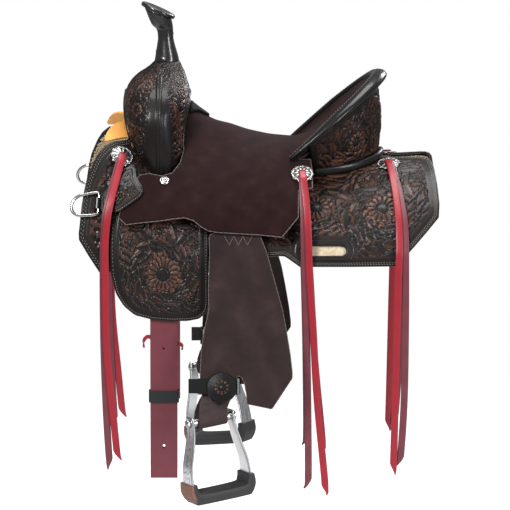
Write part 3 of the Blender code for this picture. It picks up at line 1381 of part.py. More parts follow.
def string_tail(stations, width, thickness, head_normal):
    """One thong from its head to a slanting point. Its first stations lie flat on the concho."""
    rings = []
    for i, point in enumerate(stations):
        before, after = Vector(stations[max(i - 1, 0)]), Vector(stations[min(i + 1, len(stations) - 1)])
        run = (after - before).normalized()
        across = Vector((1, 0, 0)) - run * run.x
        if i < 3:
            across = run.cross(head_normal) * math.copysign(1, run.cross(head_normal).x)
        across.normalize()
        normal = run.cross(across).normalized()
        here = width * (0.3 if i == len(stations) - 1 else 1.0)
        rings.append(strip_ring(Vector(point), across, here / 2, thickness / 2, normal))
    return rings


def concho_seats():
    """Each concho's place on the off side and its normal."""
    x, y = FRONT_CONCHO
    y = abs(y)
    z = smooth_root(lambda h: tab_out(x, h, TAB_THICKNESS + 1.6) - y, -60.0, 60.0)
    step = 6.0
    up = Vector((0, tab_out(x, z + step, 0) - tab_out(x, z - step, 0), 2 * step))
    on = Vector((2 * step, tab_out(x + step, z, 0) - tab_out(x - step, z, 0), 0))
    normal = on.cross(up)
    front = (Vector((x, y, z)), (normal if normal.y > 0 else -normal).normalized())
    x, y = MID_CONCHO
    y = abs(y)
    slope = (seat_height(x, y + step) - seat_height(x, y - step)) / (2 * step)
    mid = (Vector((x, y, seat_height(x, y))), Vector((0, -slope, 1)).normalized())
    x, y = REAR_CONCHO
    y = abs(y)
    slope = (back_height(x, y + step, SKIRT_FACE) - back_height(x, y - step, SKIRT_FACE)) / (2 * step)
    rise = (spine_height(x + step) - spine_height(x - step)) / (2 * step)
    rear = (Vector((x, y, back_height(x, y, SKIRT_FACE))), Vector((-rise, -slope, 1)).normalized())
    return (("front", front, front_tails), ("mid", mid, mid_tails), ("rear", rear, rear_tails))


def smooth_root(function, low, high):
    """Where a falling function crosses zero."""
    for _ in range(40):
        middle = (low + high) / 2
        if function(middle) > 0:
            low = middle
        else:
            high = middle
    return (low + high) / 2


def make_strings():
    """Conchos, each with a leather string threaded through it that hangs in two tails."""
    for side, label in SIDES:
        for where, (centre, normal), tails in concho_seats():
            make_concho(f"{label}_{where}_concho", side, centre + normal * FIT_GAP, normal)
            rise = 2 * FIT_GAP + CONCHO_THICKNESS + CONCHO_DOME + STRING_THICKNESS / 2
            head = centre + normal * rise
            paths = tails(head, normal)
            pivot = paths[0][0] - normal * (STRING_THICKNESS / 2)
            origin = (pivot.x, side * pivot.y, pivot.z)
            name = f"{label}_{where}_strings"
            solids = [loft(string_tail(path, STRING_WIDTH, STRING_THICKNESS, normal)) for path in paths]
            first = link(name, to_mesh(name, solids[0], origin, side), LATIGO, SADDLE, origin)
            second = link(f"{name}_tail", to_mesh(name, solids[1], origin, side), None, CUTTERS, origin)
            add_boolean(first, hide(second), "UNION")


def over_concho(head, normal, way, lift):
    """The start of a tail: it lies on the concho's dome and clears its edge."""
    way = Vector(way)
    way = (way - normal * way.dot(normal)).normalized()
    start = head + normal * lift - way * 1.5
    return [start, head + normal * (2.2 * lift) + way * 12, head + normal * (2.4 * lift - 0.6) + way * 24]


def front_tails(head, normal):
    near, far = STRING_OUT, STRING_OUT + STRING_STEP
    first = over_concho(head, normal, (-0.45, 0, -1), 0)
    first += [
        Vector(p) for p in (
            (-268, 209, -24), (-276, 224, -60), (-280, near + 2, -110), (-281, near, -170),
            (-280, near, -300), (-276, near, -420), (-271, near, -506), (-268, near, -524),
        )
    ]
    second = over_concho(head, normal, (-0.35, 0, -1), STRING_THICKNESS * 0.5)
    second += [
        Vector(p) for p in (
            (-264, 213, -24), (-272, 228, -60), (-277, far + 2, -110), (-277, far, -170),
            (-275, far, -300), (-264, far, -420), (-257, far, -492), (-254, far, -508),
        )
    ]
    return first, second


def mid_tails(head, normal):
    near, far = STRING_OUT, STRING_OUT + STRING_STEP
    first = over_concho(head, normal, (0.0, 1, -0.5), 0)
    first += [
        Vector(p) for p in (
            (79, 207, -32), (80, 219, -66), (81, near + 0.6, -110), (82, near, -170),
            (85, near, -260), (88, near, -400), (89, near, -538), (86, near, -560),
        )
    ]
    second = over_concho(head, normal, (0.1, 1, -0.5), STRING_THICKNESS * 0.5)
    second += [
        Vector(p) for p in (
            (84, 210.5, -30), (87, 222.5, -66), (89, far + 0.6, -110), (91, far, -170),
            (97, far, -260), (105, far, -400), (119, far, -548), (117, far, -571),
        )
    ]
    return first, second


def rear_tails(head, normal):
    near, far = STRING_OUT, STRING_OUT + STRING_STEP
    clear = SKIRT_FACE + LAYER_GAP + 2.5
    first = over_concho(head, normal, (0.25, 1, 0), 0)
    laid = ((248, 130, 4), (256, 170, 2), (262, 215, 1.5), (264, 260, 1))
    first += [on_back(x, way, clear + lift) for x, way, lift in laid]
    first += [
        Vector(p) for p in (
            (264, near, -150), (264, near, -260), (262, near, -400), (256, near, -500), (252, near, -520),
        )
    ]
    second = over_concho(head, normal, (0.1, 1, 0), STRING_THICKNESS * 0.5)
    laid = ((243, 130, 8), (248, 170, 6), (252, 215, 5.5), (253, 260, 5))
    second += [on_back(x, way, clear + lift) for x, way, lift in laid]
    second += [
        Vector(p) for p in (
            (252, far, -150), (249, far, -260), (246, far, -400), (243, far, -511), (241, far, -533),
        )
    ]
    return first, second


def make_screws():
    """The round-headed seat screws by the swell's foot."""
    x, z = SEAT_SCREW
    for side, label in SIDES:
        out = seat_out(z)
        share = (z - SEAT_WIDEST_Z) / (SEAT_POCKET_Z - SEAT_WIDEST_Z)
        slope = math.sqrt(1 - share * share) / SEAT_HALF_WIDTH
        normal = Vector((0, slope, share / (SEAT_POCKET_Z - SEAT_WIDEST_Z))).normalized()
        place, normal, first, second = surface_frame((x, out, z), normal)
        rings = [circle(place + normal * rise, first, second, radius, 16) for radius, rise in SCREW_LEVELS]
        name = f"{label}_seat_screw"
        link(name, to_mesh(name, loft(rings), side=side), SILVER, SADDLE)


clear_scene()
SADDLE = make_collection("barrel_racing_saddle")
CUTTERS = make_collection("cutters")
WOOD = make_material("tree_wood", (0.55, 0.4, 0.24), 0.7)
TOOLED = make_material("tooled_leather", (0.045, 0.022, 0.016), 0.35)
BLACK = make_material("black_leather", (0.012, 0.011, 0.012), 0.3)
SUEDE = make_material("rough_out_leather", (0.045, 0.024, 0.025), 0.95)
NATURAL = make_material("natural_leather", (0.78, 0.42, 0.12), 0.55)
WOOL = make_material("fleece", (0.75, 0.66, 0.5), 1.0)
LATIGO = make_material("latigo_leather", (0.2, 0.04, 0.055), 0.45)
RUBBER = make_material("black_rubber", (0.02, 0.02, 0.022), 0.7)
STEEL = make_material("steel", (0.6, 0.6, 0.6), 0.3, 1.0)
SILVER = make_material("silver", (0.8, 0.8, 0.78), 0.25, 1.0)
ALUMINIUM = make_material("aluminium", (0.75, 0.76, 0.77), 0.35, 1.0)

GULLET_CUT = prism("gullet", gullet_outline(0.0), -300.0, -100.0, "x")
HORN_SOCKET = hide(link("horn_socket", to_mesh("horn_socket", horn_core(FIT_GAP, FIT_GAP)), None, CUTTERS))

BACK_BLOCK = back_block("back_block")
ROLL_SECTIONS = [roll_section(math.radians(-89 + 178 * i / 22), FIT_GAP) for i in range(23)]
ROLL_ROOM = hide(link("roll_room", to_mesh("roll_room", loft(ROLL_SECTIONS)), None, CUTTERS))

make_tree()
make_swell()
make_lining()
make_horn()
make_seat()
make_cantle()
make_skirts()
make_rigging()
make_fenders()
make_stirrups()
make_dees()
make_strings()
make_screws()
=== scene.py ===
# %% [markdown]
# This lesson dresses a packed saddle in Blender. The CAD model gives every piece its place, so
# nothing here is fitted by eye: each finer piece is made from the same surfaces as its CAD solid
# and rides on the same body. X runs from the horn to the rear, Z is up, and the near side is -Y.

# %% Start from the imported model
import math

import bpy
import numpy as np
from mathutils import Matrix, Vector


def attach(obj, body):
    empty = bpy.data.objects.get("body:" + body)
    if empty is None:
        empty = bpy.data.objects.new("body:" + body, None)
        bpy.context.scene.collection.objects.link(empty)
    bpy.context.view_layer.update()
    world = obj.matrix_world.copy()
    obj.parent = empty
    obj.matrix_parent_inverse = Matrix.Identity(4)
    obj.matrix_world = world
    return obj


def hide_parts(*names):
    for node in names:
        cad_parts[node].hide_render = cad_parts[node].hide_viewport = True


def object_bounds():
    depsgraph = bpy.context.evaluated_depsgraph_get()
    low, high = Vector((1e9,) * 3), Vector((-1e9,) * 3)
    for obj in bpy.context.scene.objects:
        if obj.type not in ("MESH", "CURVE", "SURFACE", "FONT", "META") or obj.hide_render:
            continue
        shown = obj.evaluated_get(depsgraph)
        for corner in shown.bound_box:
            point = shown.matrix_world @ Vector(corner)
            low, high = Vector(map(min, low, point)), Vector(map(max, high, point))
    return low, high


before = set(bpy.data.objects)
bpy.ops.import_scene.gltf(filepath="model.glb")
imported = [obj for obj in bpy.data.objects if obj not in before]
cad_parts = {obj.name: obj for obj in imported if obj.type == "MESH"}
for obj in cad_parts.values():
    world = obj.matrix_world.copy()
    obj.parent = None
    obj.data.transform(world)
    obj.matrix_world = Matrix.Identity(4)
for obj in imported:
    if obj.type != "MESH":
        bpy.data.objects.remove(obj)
cad_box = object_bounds()
MM = 0.001
NEAR, OFF = -1, 1
SIDES = ((NEAR, "near"), (OFF, "off"))
print("CAD nodes", len(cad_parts))

# %% [markdown]
# The photograph is taken from the near side with a long lens, a little above the seat. The lens
# follows from the size of a pixel at the saddle's middle plane. The world is white to the camera and
# dim as a light, and the floor fades out before its edge, so that only a soft shadow shows.

# %% Camera, lamps, floor
LENS_MM, SENSOR_MM = 461.6, 36.0
CAMERA_PLACE = Vector((-0.0074, -11.8682, 1.6077))
CAMERA_TARGET = Vector((-0.0074, 0.0, -0.166))
FLOOR_DROP, FLOOR_HALF, FLOOR_FADE = 0.12, 2.0, (1.0, 1.9)
camera_data = bpy.data.cameras.new("camera")
camera = bpy.data.objects.new("camera", camera_data)
bpy.context.scene.collection.objects.link(camera)
bpy.context.scene.camera = camera
camera_data.lens = LENS_MM
camera_data.sensor_width = SENSOR_MM
camera_data.clip_end = 60.0
camera.location = CAMERA_PLACE
camera.rotation_euler = (CAMERA_TARGET - CAMERA_PLACE).to_track_quat("-Z", "Y").to_euler()

scene = bpy.context.scene
scene.view_settings.view_transform = "Standard"
world = bpy.data.worlds.new("studio")
scene.world = world
world.use_nodes = True


def node(tree, kind, links=(), values=(), **settings):
    """Adds a node, sets its properties and input values, and links other sockets into it."""
    made = tree.nodes.new(kind)
    for key, value in settings.items():
        setattr(made, key, value)
    for key, value in values:
        made.inputs[key].default_value = value
    for key, socket in links:
        tree.links.new(socket, made.inputs[key])
    return made


def pale_to_camera(tree, dim, bright):
    """A colour that is bright to the camera, and dimmer as a source of light."""
    rays = node(tree, "ShaderNodeLightPath")
    either = node(tree, "ShaderNodeMath", operation="MAXIMUM", links=(
        (0, rays.outputs["Is Camera Ray"]), (1, rays.outputs["Is Transmission Ray"]),
    ))
    return node(tree, "ShaderNodeMix", data_type="RGBA", links=((0, either.outputs[0]),), values=(
        (6, dim), (7, bright),
    )).outputs[2]


background = world.node_tree.nodes["Background"]
backdrop = pale_to_camera(world.node_tree, (0.22, 0.224, 0.232, 1), (1, 1, 1, 1))
world.node_tree.links.new(backdrop, background.inputs["Color"])


def add_lamp(name, place, target, size, power):
    """A rectangular lamp that faces its target."""
    lamp = bpy.data.lights.new(name, "AREA")
    lamp.shape = "RECTANGLE"
    lamp.size, lamp.size_y = size
    lamp.energy = power
    holder = bpy.data.objects.new(name, lamp)
    scene.collection.objects.link(holder)
    holder.location = place
    way = Vector(target) - Vector(place)
    holder.rotation_euler = way.to_track_quat("-Z", "Y").to_euler()


add_lamp("key", (-1.6, -3.0, 2.2), (0, 0, 0), (0.8, 1.5), 135)
add_lamp("side", (2.4, -2.6, 0.8), (0, 0, -0.1), (0.7, 1.8), 60)
add_lamp("top", (0.2, 0.4, 3.2), (0, 0, 0), (2.0, 2.0), 90)
add_lamp("rim", (1.8, 2.6, 1.6), (0, 0, 0), (1.2, 1.4), 60)

floor_mesh = bpy.data.meshes.new("floor")
floor_z = cad_box[0].z - FLOOR_DROP
corners = ((-1, -1), (1, -1), (1, 1), (-1, 1))
floor_mesh.from_pydata([(x * FLOOR_HALF, y * FLOOR_HALF, floor_z) for x, y in corners], [], [(0, 1, 2, 3)])
floor = bpy.data.objects.new("floor", floor_mesh)
scene.collection.objects.link(floor)

# %% [markdown]
# Leather is one shader with many dresses. Its colour comes from a ramp over the tone that a piece
# carries in its vertices, so that cut and raised parts differ, with a cloudy stain over it. Its
# gloss is set on the shader's own sockets, and a fine grain gives the bump.

# %% Materials
CLOUD_SCALE = 45.0


def srgb(r, g, b):
    """The linear colour of a colour given as 0 to 255, as a screen shows it."""
    shares = [v / 255 for v in (r, g, b)]
    return tuple(v / 12.92 if v <= 0.04045 else ((v + 0.055) / 1.055) ** 2.4 for v in shares) + (1.0,)


def finish(name, stops, rough=(0.4, 0.5), grain=(900.0, 0.15), cloud=0.25, shader=(), base=0.0,
           bumps=0.0003):
    """A material whose colour is a ramp over the tone, clouded by noise, with a grain of (scale, strength).

    The gloss runs between two roughnesses. A base lifts the tone of CAD pieces, which carry none.
    """
    made = bpy.data.materials.new(name)
    made.use_nodes = True
    tree = made.node_tree
    principled = tree.nodes["Principled BSDF"]
    place = node(tree, "ShaderNodeTexCoord").outputs["Object"]
    clouds = node(tree, "ShaderNodeTexNoise", links=(("Vector", place),), values=(
        ("Scale", CLOUD_SCALE), ("Detail", 4.0), ("Roughness", 0.6),
    )).outputs[0]
    tone = node(tree, "ShaderNodeAttribute", attribute_name="tone").outputs["Fac"]
    shift = node(tree, "ShaderNodeMath", operation="MULTIPLY_ADD", links=((0, clouds), (2, tone)), values=(
        (1, cloud),
    ))
    centred = node(tree, "ShaderNodeMath", operation="SUBTRACT", links=((0, shift.outputs[0]),), values=(
        (1, cloud / 2 - base),
    )).outputs[0]
    ramp = node(tree, "ShaderNodeValToRGB", links=(("Fac", centred),))
    while len(ramp.color_ramp.elements) < len(stops):
        ramp.color_ramp.elements.new(0.5)
    for element, (place_on, colour) in zip(ramp.color_ramp.elements, stops):
        element.position, element.color = place_on, colour
    tree.links.new(ramp.outputs[0], principled.inputs["Base Color"])
    gloss = node(tree, "ShaderNodeMapRange", links=(("Value", centred),), values=(
        ("To Min", rough[1]), ("To Max", rough[0]),
    )).outputs[0]
    tree.links.new(gloss, principled.inputs["Roughness"])
    pores = node(tree, "ShaderNodeTexVoronoi", links=(("Vector", place),),
                 values=(("Scale", grain[0]),)).outputs[0]
    bump = node(tree, "ShaderNodeBump", links=(("Height", pores),), values=(
        ("Strength", grain[1]), ("Distance", bumps),
    )).outputs[0]
    tree.links.new(bump, principled.inputs["Normal"])
    for key, value in shader:
        principled.inputs[key].default_value = value
    return made


METAL = (("Metallic", 1.0),)
tooled_leather = finish(
    "tooled_leather",
    ((0.0, (0.0025, 0.002, 0.002, 1)), (0.3, (0.010, 0.007, 0.006, 1)), (0.55, (0.062, 0.025, 0.016, 1)),
     (1.0, (0.17, 0.07, 0.042, 1))),
    rough=(0.25, 0.5), cloud=0.26, shader=(("Coat Weight", 0.16), ("Coat Roughness", 0.12),
                                           ("Specular IOR Level", 0.24)),
)
black_leather = finish(
    "black_leather", ((0.0, (0.006, 0.006, 0.006, 1)), (1.0, (0.018, 0.016, 0.016, 1))),
    rough=(0.24, 0.34), cloud=0.6, shader=(("Coat Weight", 0.2), ("Coat Roughness", 0.1),
                                           ("Specular IOR Level", 0.25)),
)
horn_leather = finish(
    "horn_leather", ((0.0, (0.012, 0.011, 0.011, 1)), (0.6, (0.020, 0.018, 0.018, 1)),
                     (1.0, (0.12, 0.05, 0.035, 1))),
    rough=(0.2, 0.26), cloud=0.3, grain=(260.0, 0.25),
    shader=(("Coat Weight", 0.5), ("Coat Roughness", 0.15)),
)
suede = finish(
    "rough_out_leather", ((0.0, srgb(27, 14, 14)), (0.5, srgb(38, 21, 21)), (1.0, srgb(54, 34, 33))),
    rough=(0.95, 1.0), cloud=0.9, grain=(2600.0, 0.5),
    shader=(("Sheen Weight", 0.03), ("Sheen Roughness", 0.6),
    ("Specular IOR Level", 0.08)),
)
fender_suede = finish(
    "fender_leather", ((0.0, srgb(35, 24, 24)), (0.5, srgb(46, 32, 32)), (1.0, srgb(62, 46, 45))),
    rough=(0.9, 1.0), cloud=0.9, grain=(2200.0, 0.6),
    shader=(("Sheen Weight", 0.1), ("Sheen Roughness", 0.6),
    ("Specular IOR Level", 0.2)),
)
strap_suede = finish(
    "strap_suede", ((0.0, srgb(40, 29, 29)), (1.0, srgb(72, 56, 54))), rough=(0.7, 0.9), cloud=0.8,
    base=0.4, grain=(1600.0, 0.4),
)
cut_edge = finish(
    "cut_edge", ((0.0, srgb(74, 65, 63)), (1.0, srgb(116, 105, 100))), rough=(0.6, 0.7), cloud=1.0,
)
LATIGO_DYES = ((0.0, srgb(78, 34, 40)), (0.45, srgb(112, 50, 60)), (0.72, srgb(142, 26, 40)),
               (1.0, srgb(156, 26, 41)))
LATIGO_FACE = (("Coat Weight", 0.1), ("Coat Roughness", 0.4))
latigo_leather = finish("latigo_leather", LATIGO_DYES, (0.38, 0.46), (1400.0, 0.2), 0.22, LATIGO_FACE)
latigo_strap = finish("latigo_strap", LATIGO_DYES, (0.34, 0.44), (1400.0, 0.2), 0.3, LATIGO_FACE, base=0.42)
natural_leather = finish(
    "natural_leather", ((0.0, srgb(214, 140, 62)), (0.5, srgb(240, 170, 84)), (1.0, srgb(250, 196, 122))),
    rough=(0.42, 0.5), cloud=0.5, base=0.45,
)
thread_white = finish(
    "thread", ((0.0, srgb(150, 142, 132)), (1.0, srgb(216, 208, 196))), rough=(0.7, 0.8), cloud=0.6,
)
silver = finish(
    "silver", ((0.0, (0.05, 0.05, 0.048, 1)), (0.45, (0.34, 0.33, 0.32, 1)), (1.0, (0.68, 0.67, 0.65, 1))),
    rough=(0.18, 0.4), cloud=0.2, shader=METAL, grain=(1200.0, 0.1),
)
bright_silver = finish(
    "bright_silver", ((0.0, (0.3, 0.29, 0.28, 1)), (1.0, (0.7, 0.69, 0.66, 1))), rough=(0.22, 0.35),
    cloud=0.4, base=0.5, shader=METAL,
)
aluminium = finish(
    "aluminium", ((0.0, (0.16, 0.16, 0.165, 1)), (0.5, (0.55, 0.56, 0.57, 1)),
                  (1.0, (0.82, 0.83, 0.84, 1))),
    rough=(0.3, 0.46), cloud=0.3, shader=METAL, grain=(700.0, 0.15),
)
steel = finish(
    "steel", ((0.0, (0.3, 0.3, 0.3, 1)), (1.0, (0.62, 0.62, 0.61, 1))), rough=(0.25, 0.35), cloud=0.4,
    base=0.5, shader=METAL,
)
tread_leather = finish(
    "tread_leather", ((0.0, (0.010, 0.010, 0.011, 1)), (0.5, (0.036, 0.036, 0.038, 1)),
                      (1.0, (0.26, 0.11, 0.07, 1))),
    rough=(0.45, 0.6), cloud=0.2, grain=(1100.0, 0.3),
)
matt_leather = finish(
    "matt_leather", ((0.0, (0.004, 0.004, 0.004, 1)), (1.0, (0.012, 0.011, 0.011, 1))), rough=(0.7, 0.8),
    cloud=0.6, shader=(("Specular IOR Level", 0.15),),
)
black_rubber = finish(
    "black_rubber", ((0.0, srgb(22, 28, 31)), (1.0, srgb(44, 50, 53))), rough=(0.55, 0.65), cloud=0.8,
)
wool = finish(
    "fleece", ((0.0, srgb(176, 152, 112)), (0.5, srgb(226, 206, 170)), (1.0, srgb(246, 236, 214))),
    rough=(0.95, 1.0), cloud=0.5, grain=(900.0, 0.8), bumps=0.0012,
    shader=(("Sheen Weight", 0.4), ("Sheen Roughness", 0.7)),
)
tree_wood = finish(
    "tree_wood", ((0.0, srgb(150, 112, 72)), (1.0, srgb(206, 172, 128))), rough=(0.6, 0.7), cloud=1.0,
)
floor_material = bpy.data.materials.new("floor")
floor_material.use_nodes = True
floor_tree = floor_material.node_tree
floor_shader = floor_tree.nodes["Principled BSDF"]
floor_colour = pale_to_camera(floor_tree, (0.6, 0.6, 0.6, 1), (0.96, 0.96, 0.96, 1))
floor_tree.links.new(floor_colour, floor_shader.inputs["Base Color"])
for key, value in (("Roughness", 0.9), ("Emission Color", (1, 1, 1, 1)), ("Emission Strength", 0.2)):
    floor_shader.inputs[key].default_value = value
floor_place = node(floor_tree, "ShaderNodeTexCoord").outputs["Object"]
floor_away = node(floor_tree, "ShaderNodeVectorMath", operation="LENGTH", links=((0, floor_place),))
floor_fade = node(
    floor_tree, "ShaderNodeMapRange", links=(("Value", floor_away.outputs["Value"]),),
    values=(("From Min", FLOOR_FADE[0]), ("From Max", FLOOR_FADE[1])),
)
floor_clear = node(floor_tree, "ShaderNodeBsdfTransparent")
floor_mix = node(floor_tree, "ShaderNodeMixShader", links=(
    (0, floor_fade.outputs[0]), (1, floor_shader.outputs[0]), (2, floor_clear.outputs[0]),
))
floor_tree.links.new(floor_mix.outputs[0], floor_tree.nodes["Material Output"].inputs[0])
floor_mesh.materials.append(floor_material)
print("materials", len(bpy.data.materials))

# %% [markdown]
# The saddle's sheets lie on one horse's back. A point is given by its x, its way round the back
# from the spine, and its rise off the skirts' face. These lines repeat the CAD source's surfaces.

# %% The surfaces of the saddle
BACK_HALF, BACK_TURN, BACK_ROUND = 205.0, 200.0, 1.25
WIDEST_Z, LOWEST_X = -170.0, 60.0
WITHERS_RISE, LOIN_RISE = 90.0, 12.0
QUARTER_TURN = BACK_TURN * math.pi / 2
SKIRT_FACE = 16.9


def spine_height(x):
    """The back is lowest behind its middle, and climbs to the withers and a little to the loin."""
    withers, loin = WITHERS_RISE * ((LOWEST_X - x) / 300) ** 2, LOIN_RISE * ((x - LOWEST_X) / 250) ** 2
    return np.where(x < LOWEST_X, withers, loin)


def on_back(x, way, lift):
    """Points at a way round the back and a lift off it, in mm. Below the widest line it hangs plumb."""
    x, way = np.broadcast_arrays(np.asarray(x, float), np.asarray(way, float))
    angle = np.clip(way / BACK_TURN, -math.pi / 2, math.pi / 2)
    y = np.sign(angle) * (BACK_HALF + lift) * np.abs(np.sin(angle)) ** BACK_ROUND
    z = WIDEST_Z + (spine_height(x) - WIDEST_Z + lift) * np.cos(angle)
    return np.stack([x, y, z - np.maximum(np.abs(way) - QUARTER_TURN, 0)], -1)


def unit(v):
    """The same directions with a length of one."""
    return v / np.maximum(np.linalg.norm(v, axis=-1, keepdims=True), 1e-9)


def mirror(side):
    """What turns a point of the off side into one of the given side."""
    return np.array([1, side, 1])


def off_surface(point, u, v, rise, step=2.0):
    """A point moved off a surface, square to it, which is told from its neighbours."""
    along = point(u + step, v) - point(u - step, v)
    round_it = point(u, v + step) - point(u, v - step)
    return point(u, v) + unit(np.cross(along, round_it)) * np.asarray(rise)[..., None]


def skirt_place(u, v, rise):
    """A point of the skirts' face, moved off it square to it."""
    return off_surface(lambda u, v: on_back(u, v, SKIRT_FACE), u, v, rise)


def way_round(x, z, lift):
    """The way round the back at which the surface at this lift has this height."""
    share = np.clip((z - WIDEST_Z) / (spine_height(x) - WIDEST_Z + lift), -1, 1)
    return np.where(z <= WIDEST_Z, QUARTER_TURN + WIDEST_Z - z, BACK_TURN * np.arccos(share))


def back_height(x, y, lift):
    """The height of the surface at this lift over a point of the plan."""
    share = np.minimum(np.abs(y) / (BACK_HALF + lift), 1)
    return WIDEST_Z + (spine_height(x) - WIDEST_Z + lift) * np.sqrt(1 - share ** (2 / BACK_ROUND))


BARREL_FOOT, BARREL_TALL, BARREL_HALF = -120.0, 176.0, 240.0
SEAT_TOP_LINE = np.array(((-127, 117), (-89, 89), (-52, 77), (-15, 65), (22, 56), (59, 51), (90, 51)),
                         float)


def smooth_line(points, x):
    """Heights of a smooth line through points, level past its ends."""
    px, pz = points[:, 0], points[:, 1]
    slopes = np.gradient(pz, px)
    slopes[1:-1] = (pz[2:] - pz[:-2]) / (px[2:] - px[:-2])
    x = np.clip(x, px[0], px[-1])
    i = np.clip(np.searchsorted(px, x) - 1, 0, len(px) - 2)
    span = px[i + 1] - px[i]
    t = (x - px[i]) / span
    return ((2 * t**3 - 3 * t**2 + 1) * pz[i] + (t**3 - 2 * t**2 + t) * slopes[i] * span
            + (3 * t**2 - 2 * t**3) * pz[i + 1] + (t**3 - t**2) * slopes[i + 1] * span)


def seat_height(x, y):
    """The seat is a barrel across, with a narrower crown whose height changes from swell to cantle."""
    barrel = BARREL_TALL * np.sqrt(np.maximum(1 - (y / BARREL_HALF) ** 2, 0))
    return BARREL_FOOT + barrel + (smooth_line(SEAT_TOP_LINE, x) - 56) * np.exp(-((y / 75) ** 2))


print("spine at the withers", float(spine_height(-240.0)))

# %% [markdown]
# A leather sheet is cut from a flat grid of (u, v) points. Grid points close to the outline are
# drawn onto it, cells outside are dropped, and the rim is turned down, so that the edge is clean
# and rounded however fine the carving on its face is.

# %% Cutting a sheet to its outline


def dense(points, longest, closed=True):
    """The outline with no edge longer than given."""
    points = [np.asarray(p, float) for p in points]
    ends = points[1:] + points[:1] if closed else points[1:]
    made = []
    for start, end in zip(points, ends):
        steps = max(1, math.ceil(np.linalg.norm(end - start) / longest))
        made += [start + (end - start) * k / steps for k in range(steps)]
    return np.array(made if closed else made + [points[-1]])


def rounded(points, passes=2):
    """The closed outline with its corners cut, once a pass."""
    for _ in range(passes):
        after = np.roll(points, -1, 0)
        cut = np.stack([points * 0.75 + after * 0.25, points * 0.25 + after * 0.75], 1)
        points = cut.reshape(-1, points.shape[-1])
    return points


def edge_distance(points, loops):
    """How far inside the outlines each point lies, its nearest outline point, and the way along it."""
    best = np.full(len(points), 1e9)
    nearest = np.zeros_like(points)
    along = np.zeros(len(points))
    inside = np.zeros(len(points), bool)
    for loop in loops:
        ends = np.roll(loop, -1, 0)
        walked = 0.0
        for a, b in zip(loop, ends):
            run = b - a
            length = max(np.linalg.norm(run), 1e-9)
            t = np.clip(((points - a) @ run) / length**2, 0, 1)
            foot = a + t[:, None] * run
            gap = np.linalg.norm(points - foot, axis=1)
            closer = gap < best
            best[closer], nearest[closer] = gap[closer], foot[closer]
            along[closer] = walked + t[closer] * length
            crosses = (a[1] > points[:, 1]) != (b[1] > points[:, 1])
            where = a[0] + (points[:, 1] - a[1]) * run[0] / (run[1] if abs(run[1]) > 1e-9 else 1e-9)
            inside ^= crosses & (points[:, 0] < where)
            walked += length
    return np.where(inside, best, -best), nearest, along


def cut_grid(loops, cell):
    """A grid cut to its outlines: points, faces as index lists, and each point's distance from the edge."""
    low, high = loops[0].min(0) - cell, loops[0].max(0) + cell
    count = np.ceil((high - low) / cell).astype(int) + 1
    u, v = np.meshgrid(low[0] + cell * np.arange(count[0]), low[1] + cell * np.arange(count[1]),
                       indexing="ij")
    points = np.stack([u.ravel(), v.ravel()], 1)
    inner, nearest, along = edge_distance(points, loops)
    index = np.arange(len(points)).reshape(count)
    quads = np.stack([index[:-1, :-1], index[1:, :-1], index[1:, 1:], index[:-1, 1:]], -1).reshape(-1, 4)
    crossed = quads[(inner[quads] > 0.3 * cell).any(1)]
    snap = np.zeros(len(points), bool)
    snap[np.unique(crossed)] = True
    snap &= inner <= 0.3 * cell
    points[snap], inner[snap] = nearest[snap], 0
    faces = crossed.tolist()
    used = np.unique(np.concatenate([np.ravel(f) for f in faces]) if faces else [])
    renumber = np.full(len(points), -1)
    renumber[used] = np.arange(len(used))
    return points[used], [[int(renumber[i]) for i in f] for f in faces], inner[used], along[used]


def boundary(faces):
    """The outer edges of faces, each as the ordered pair its face runs through."""
    seen = {}
    for f in faces:
        for a, b in zip(f, f[1:] + f[:1]):
            seen[(a, b)] = True
    return [(a, b) for a, b in seen if (b, a) not in seen]


def add_piece(name, mesh, body, replaces=()):
    """Puts a mesh in the scene as a piece that rides on its body."""
    obj = bpy.data.objects.new(name, mesh)
    scene.collection.objects.link(obj)
    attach(obj, body)
    if replaces:
        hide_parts(*replaces)
    return obj


def make_object(name, points, faces, materials, body, replaces=(), tone=0.5, second=(), sharp=None):
    """A finished piece from points in millimetres, riding on its body."""
    mesh = bpy.data.meshes.new(name)
    mesh.from_pydata((np.asarray(points) * MM).tolist(), [], faces)
    tones = np.broadcast_to(np.asarray(tone, np.float32), len(mesh.vertices))
    mesh.attributes.new("tone", "FLOAT", "POINT").data.foreach_set("value", tones)
    for material in materials:
        mesh.materials.append(material)
    for i in second:
        mesh.polygons[i].material_index = 1
    mesh.update()
    mesh.shade_smooth()
    if sharp:
        mesh.set_sharp_from_angle(angle=math.radians(sharp))
    return add_piece(name, mesh, body, replaces)


EDGE_RADIUS = 1.9
BACK_LIFT, BACK_TONE = 0.02, 0.12


def rim_round(inner, radius=EDGE_RADIUS):
    """How far the face drops near its edge, so that the edge is a quarter round."""
    gap = np.clip(radius - inner, 0, radius)
    return radius - np.sqrt(np.maximum(radius**2 - gap**2, 0))


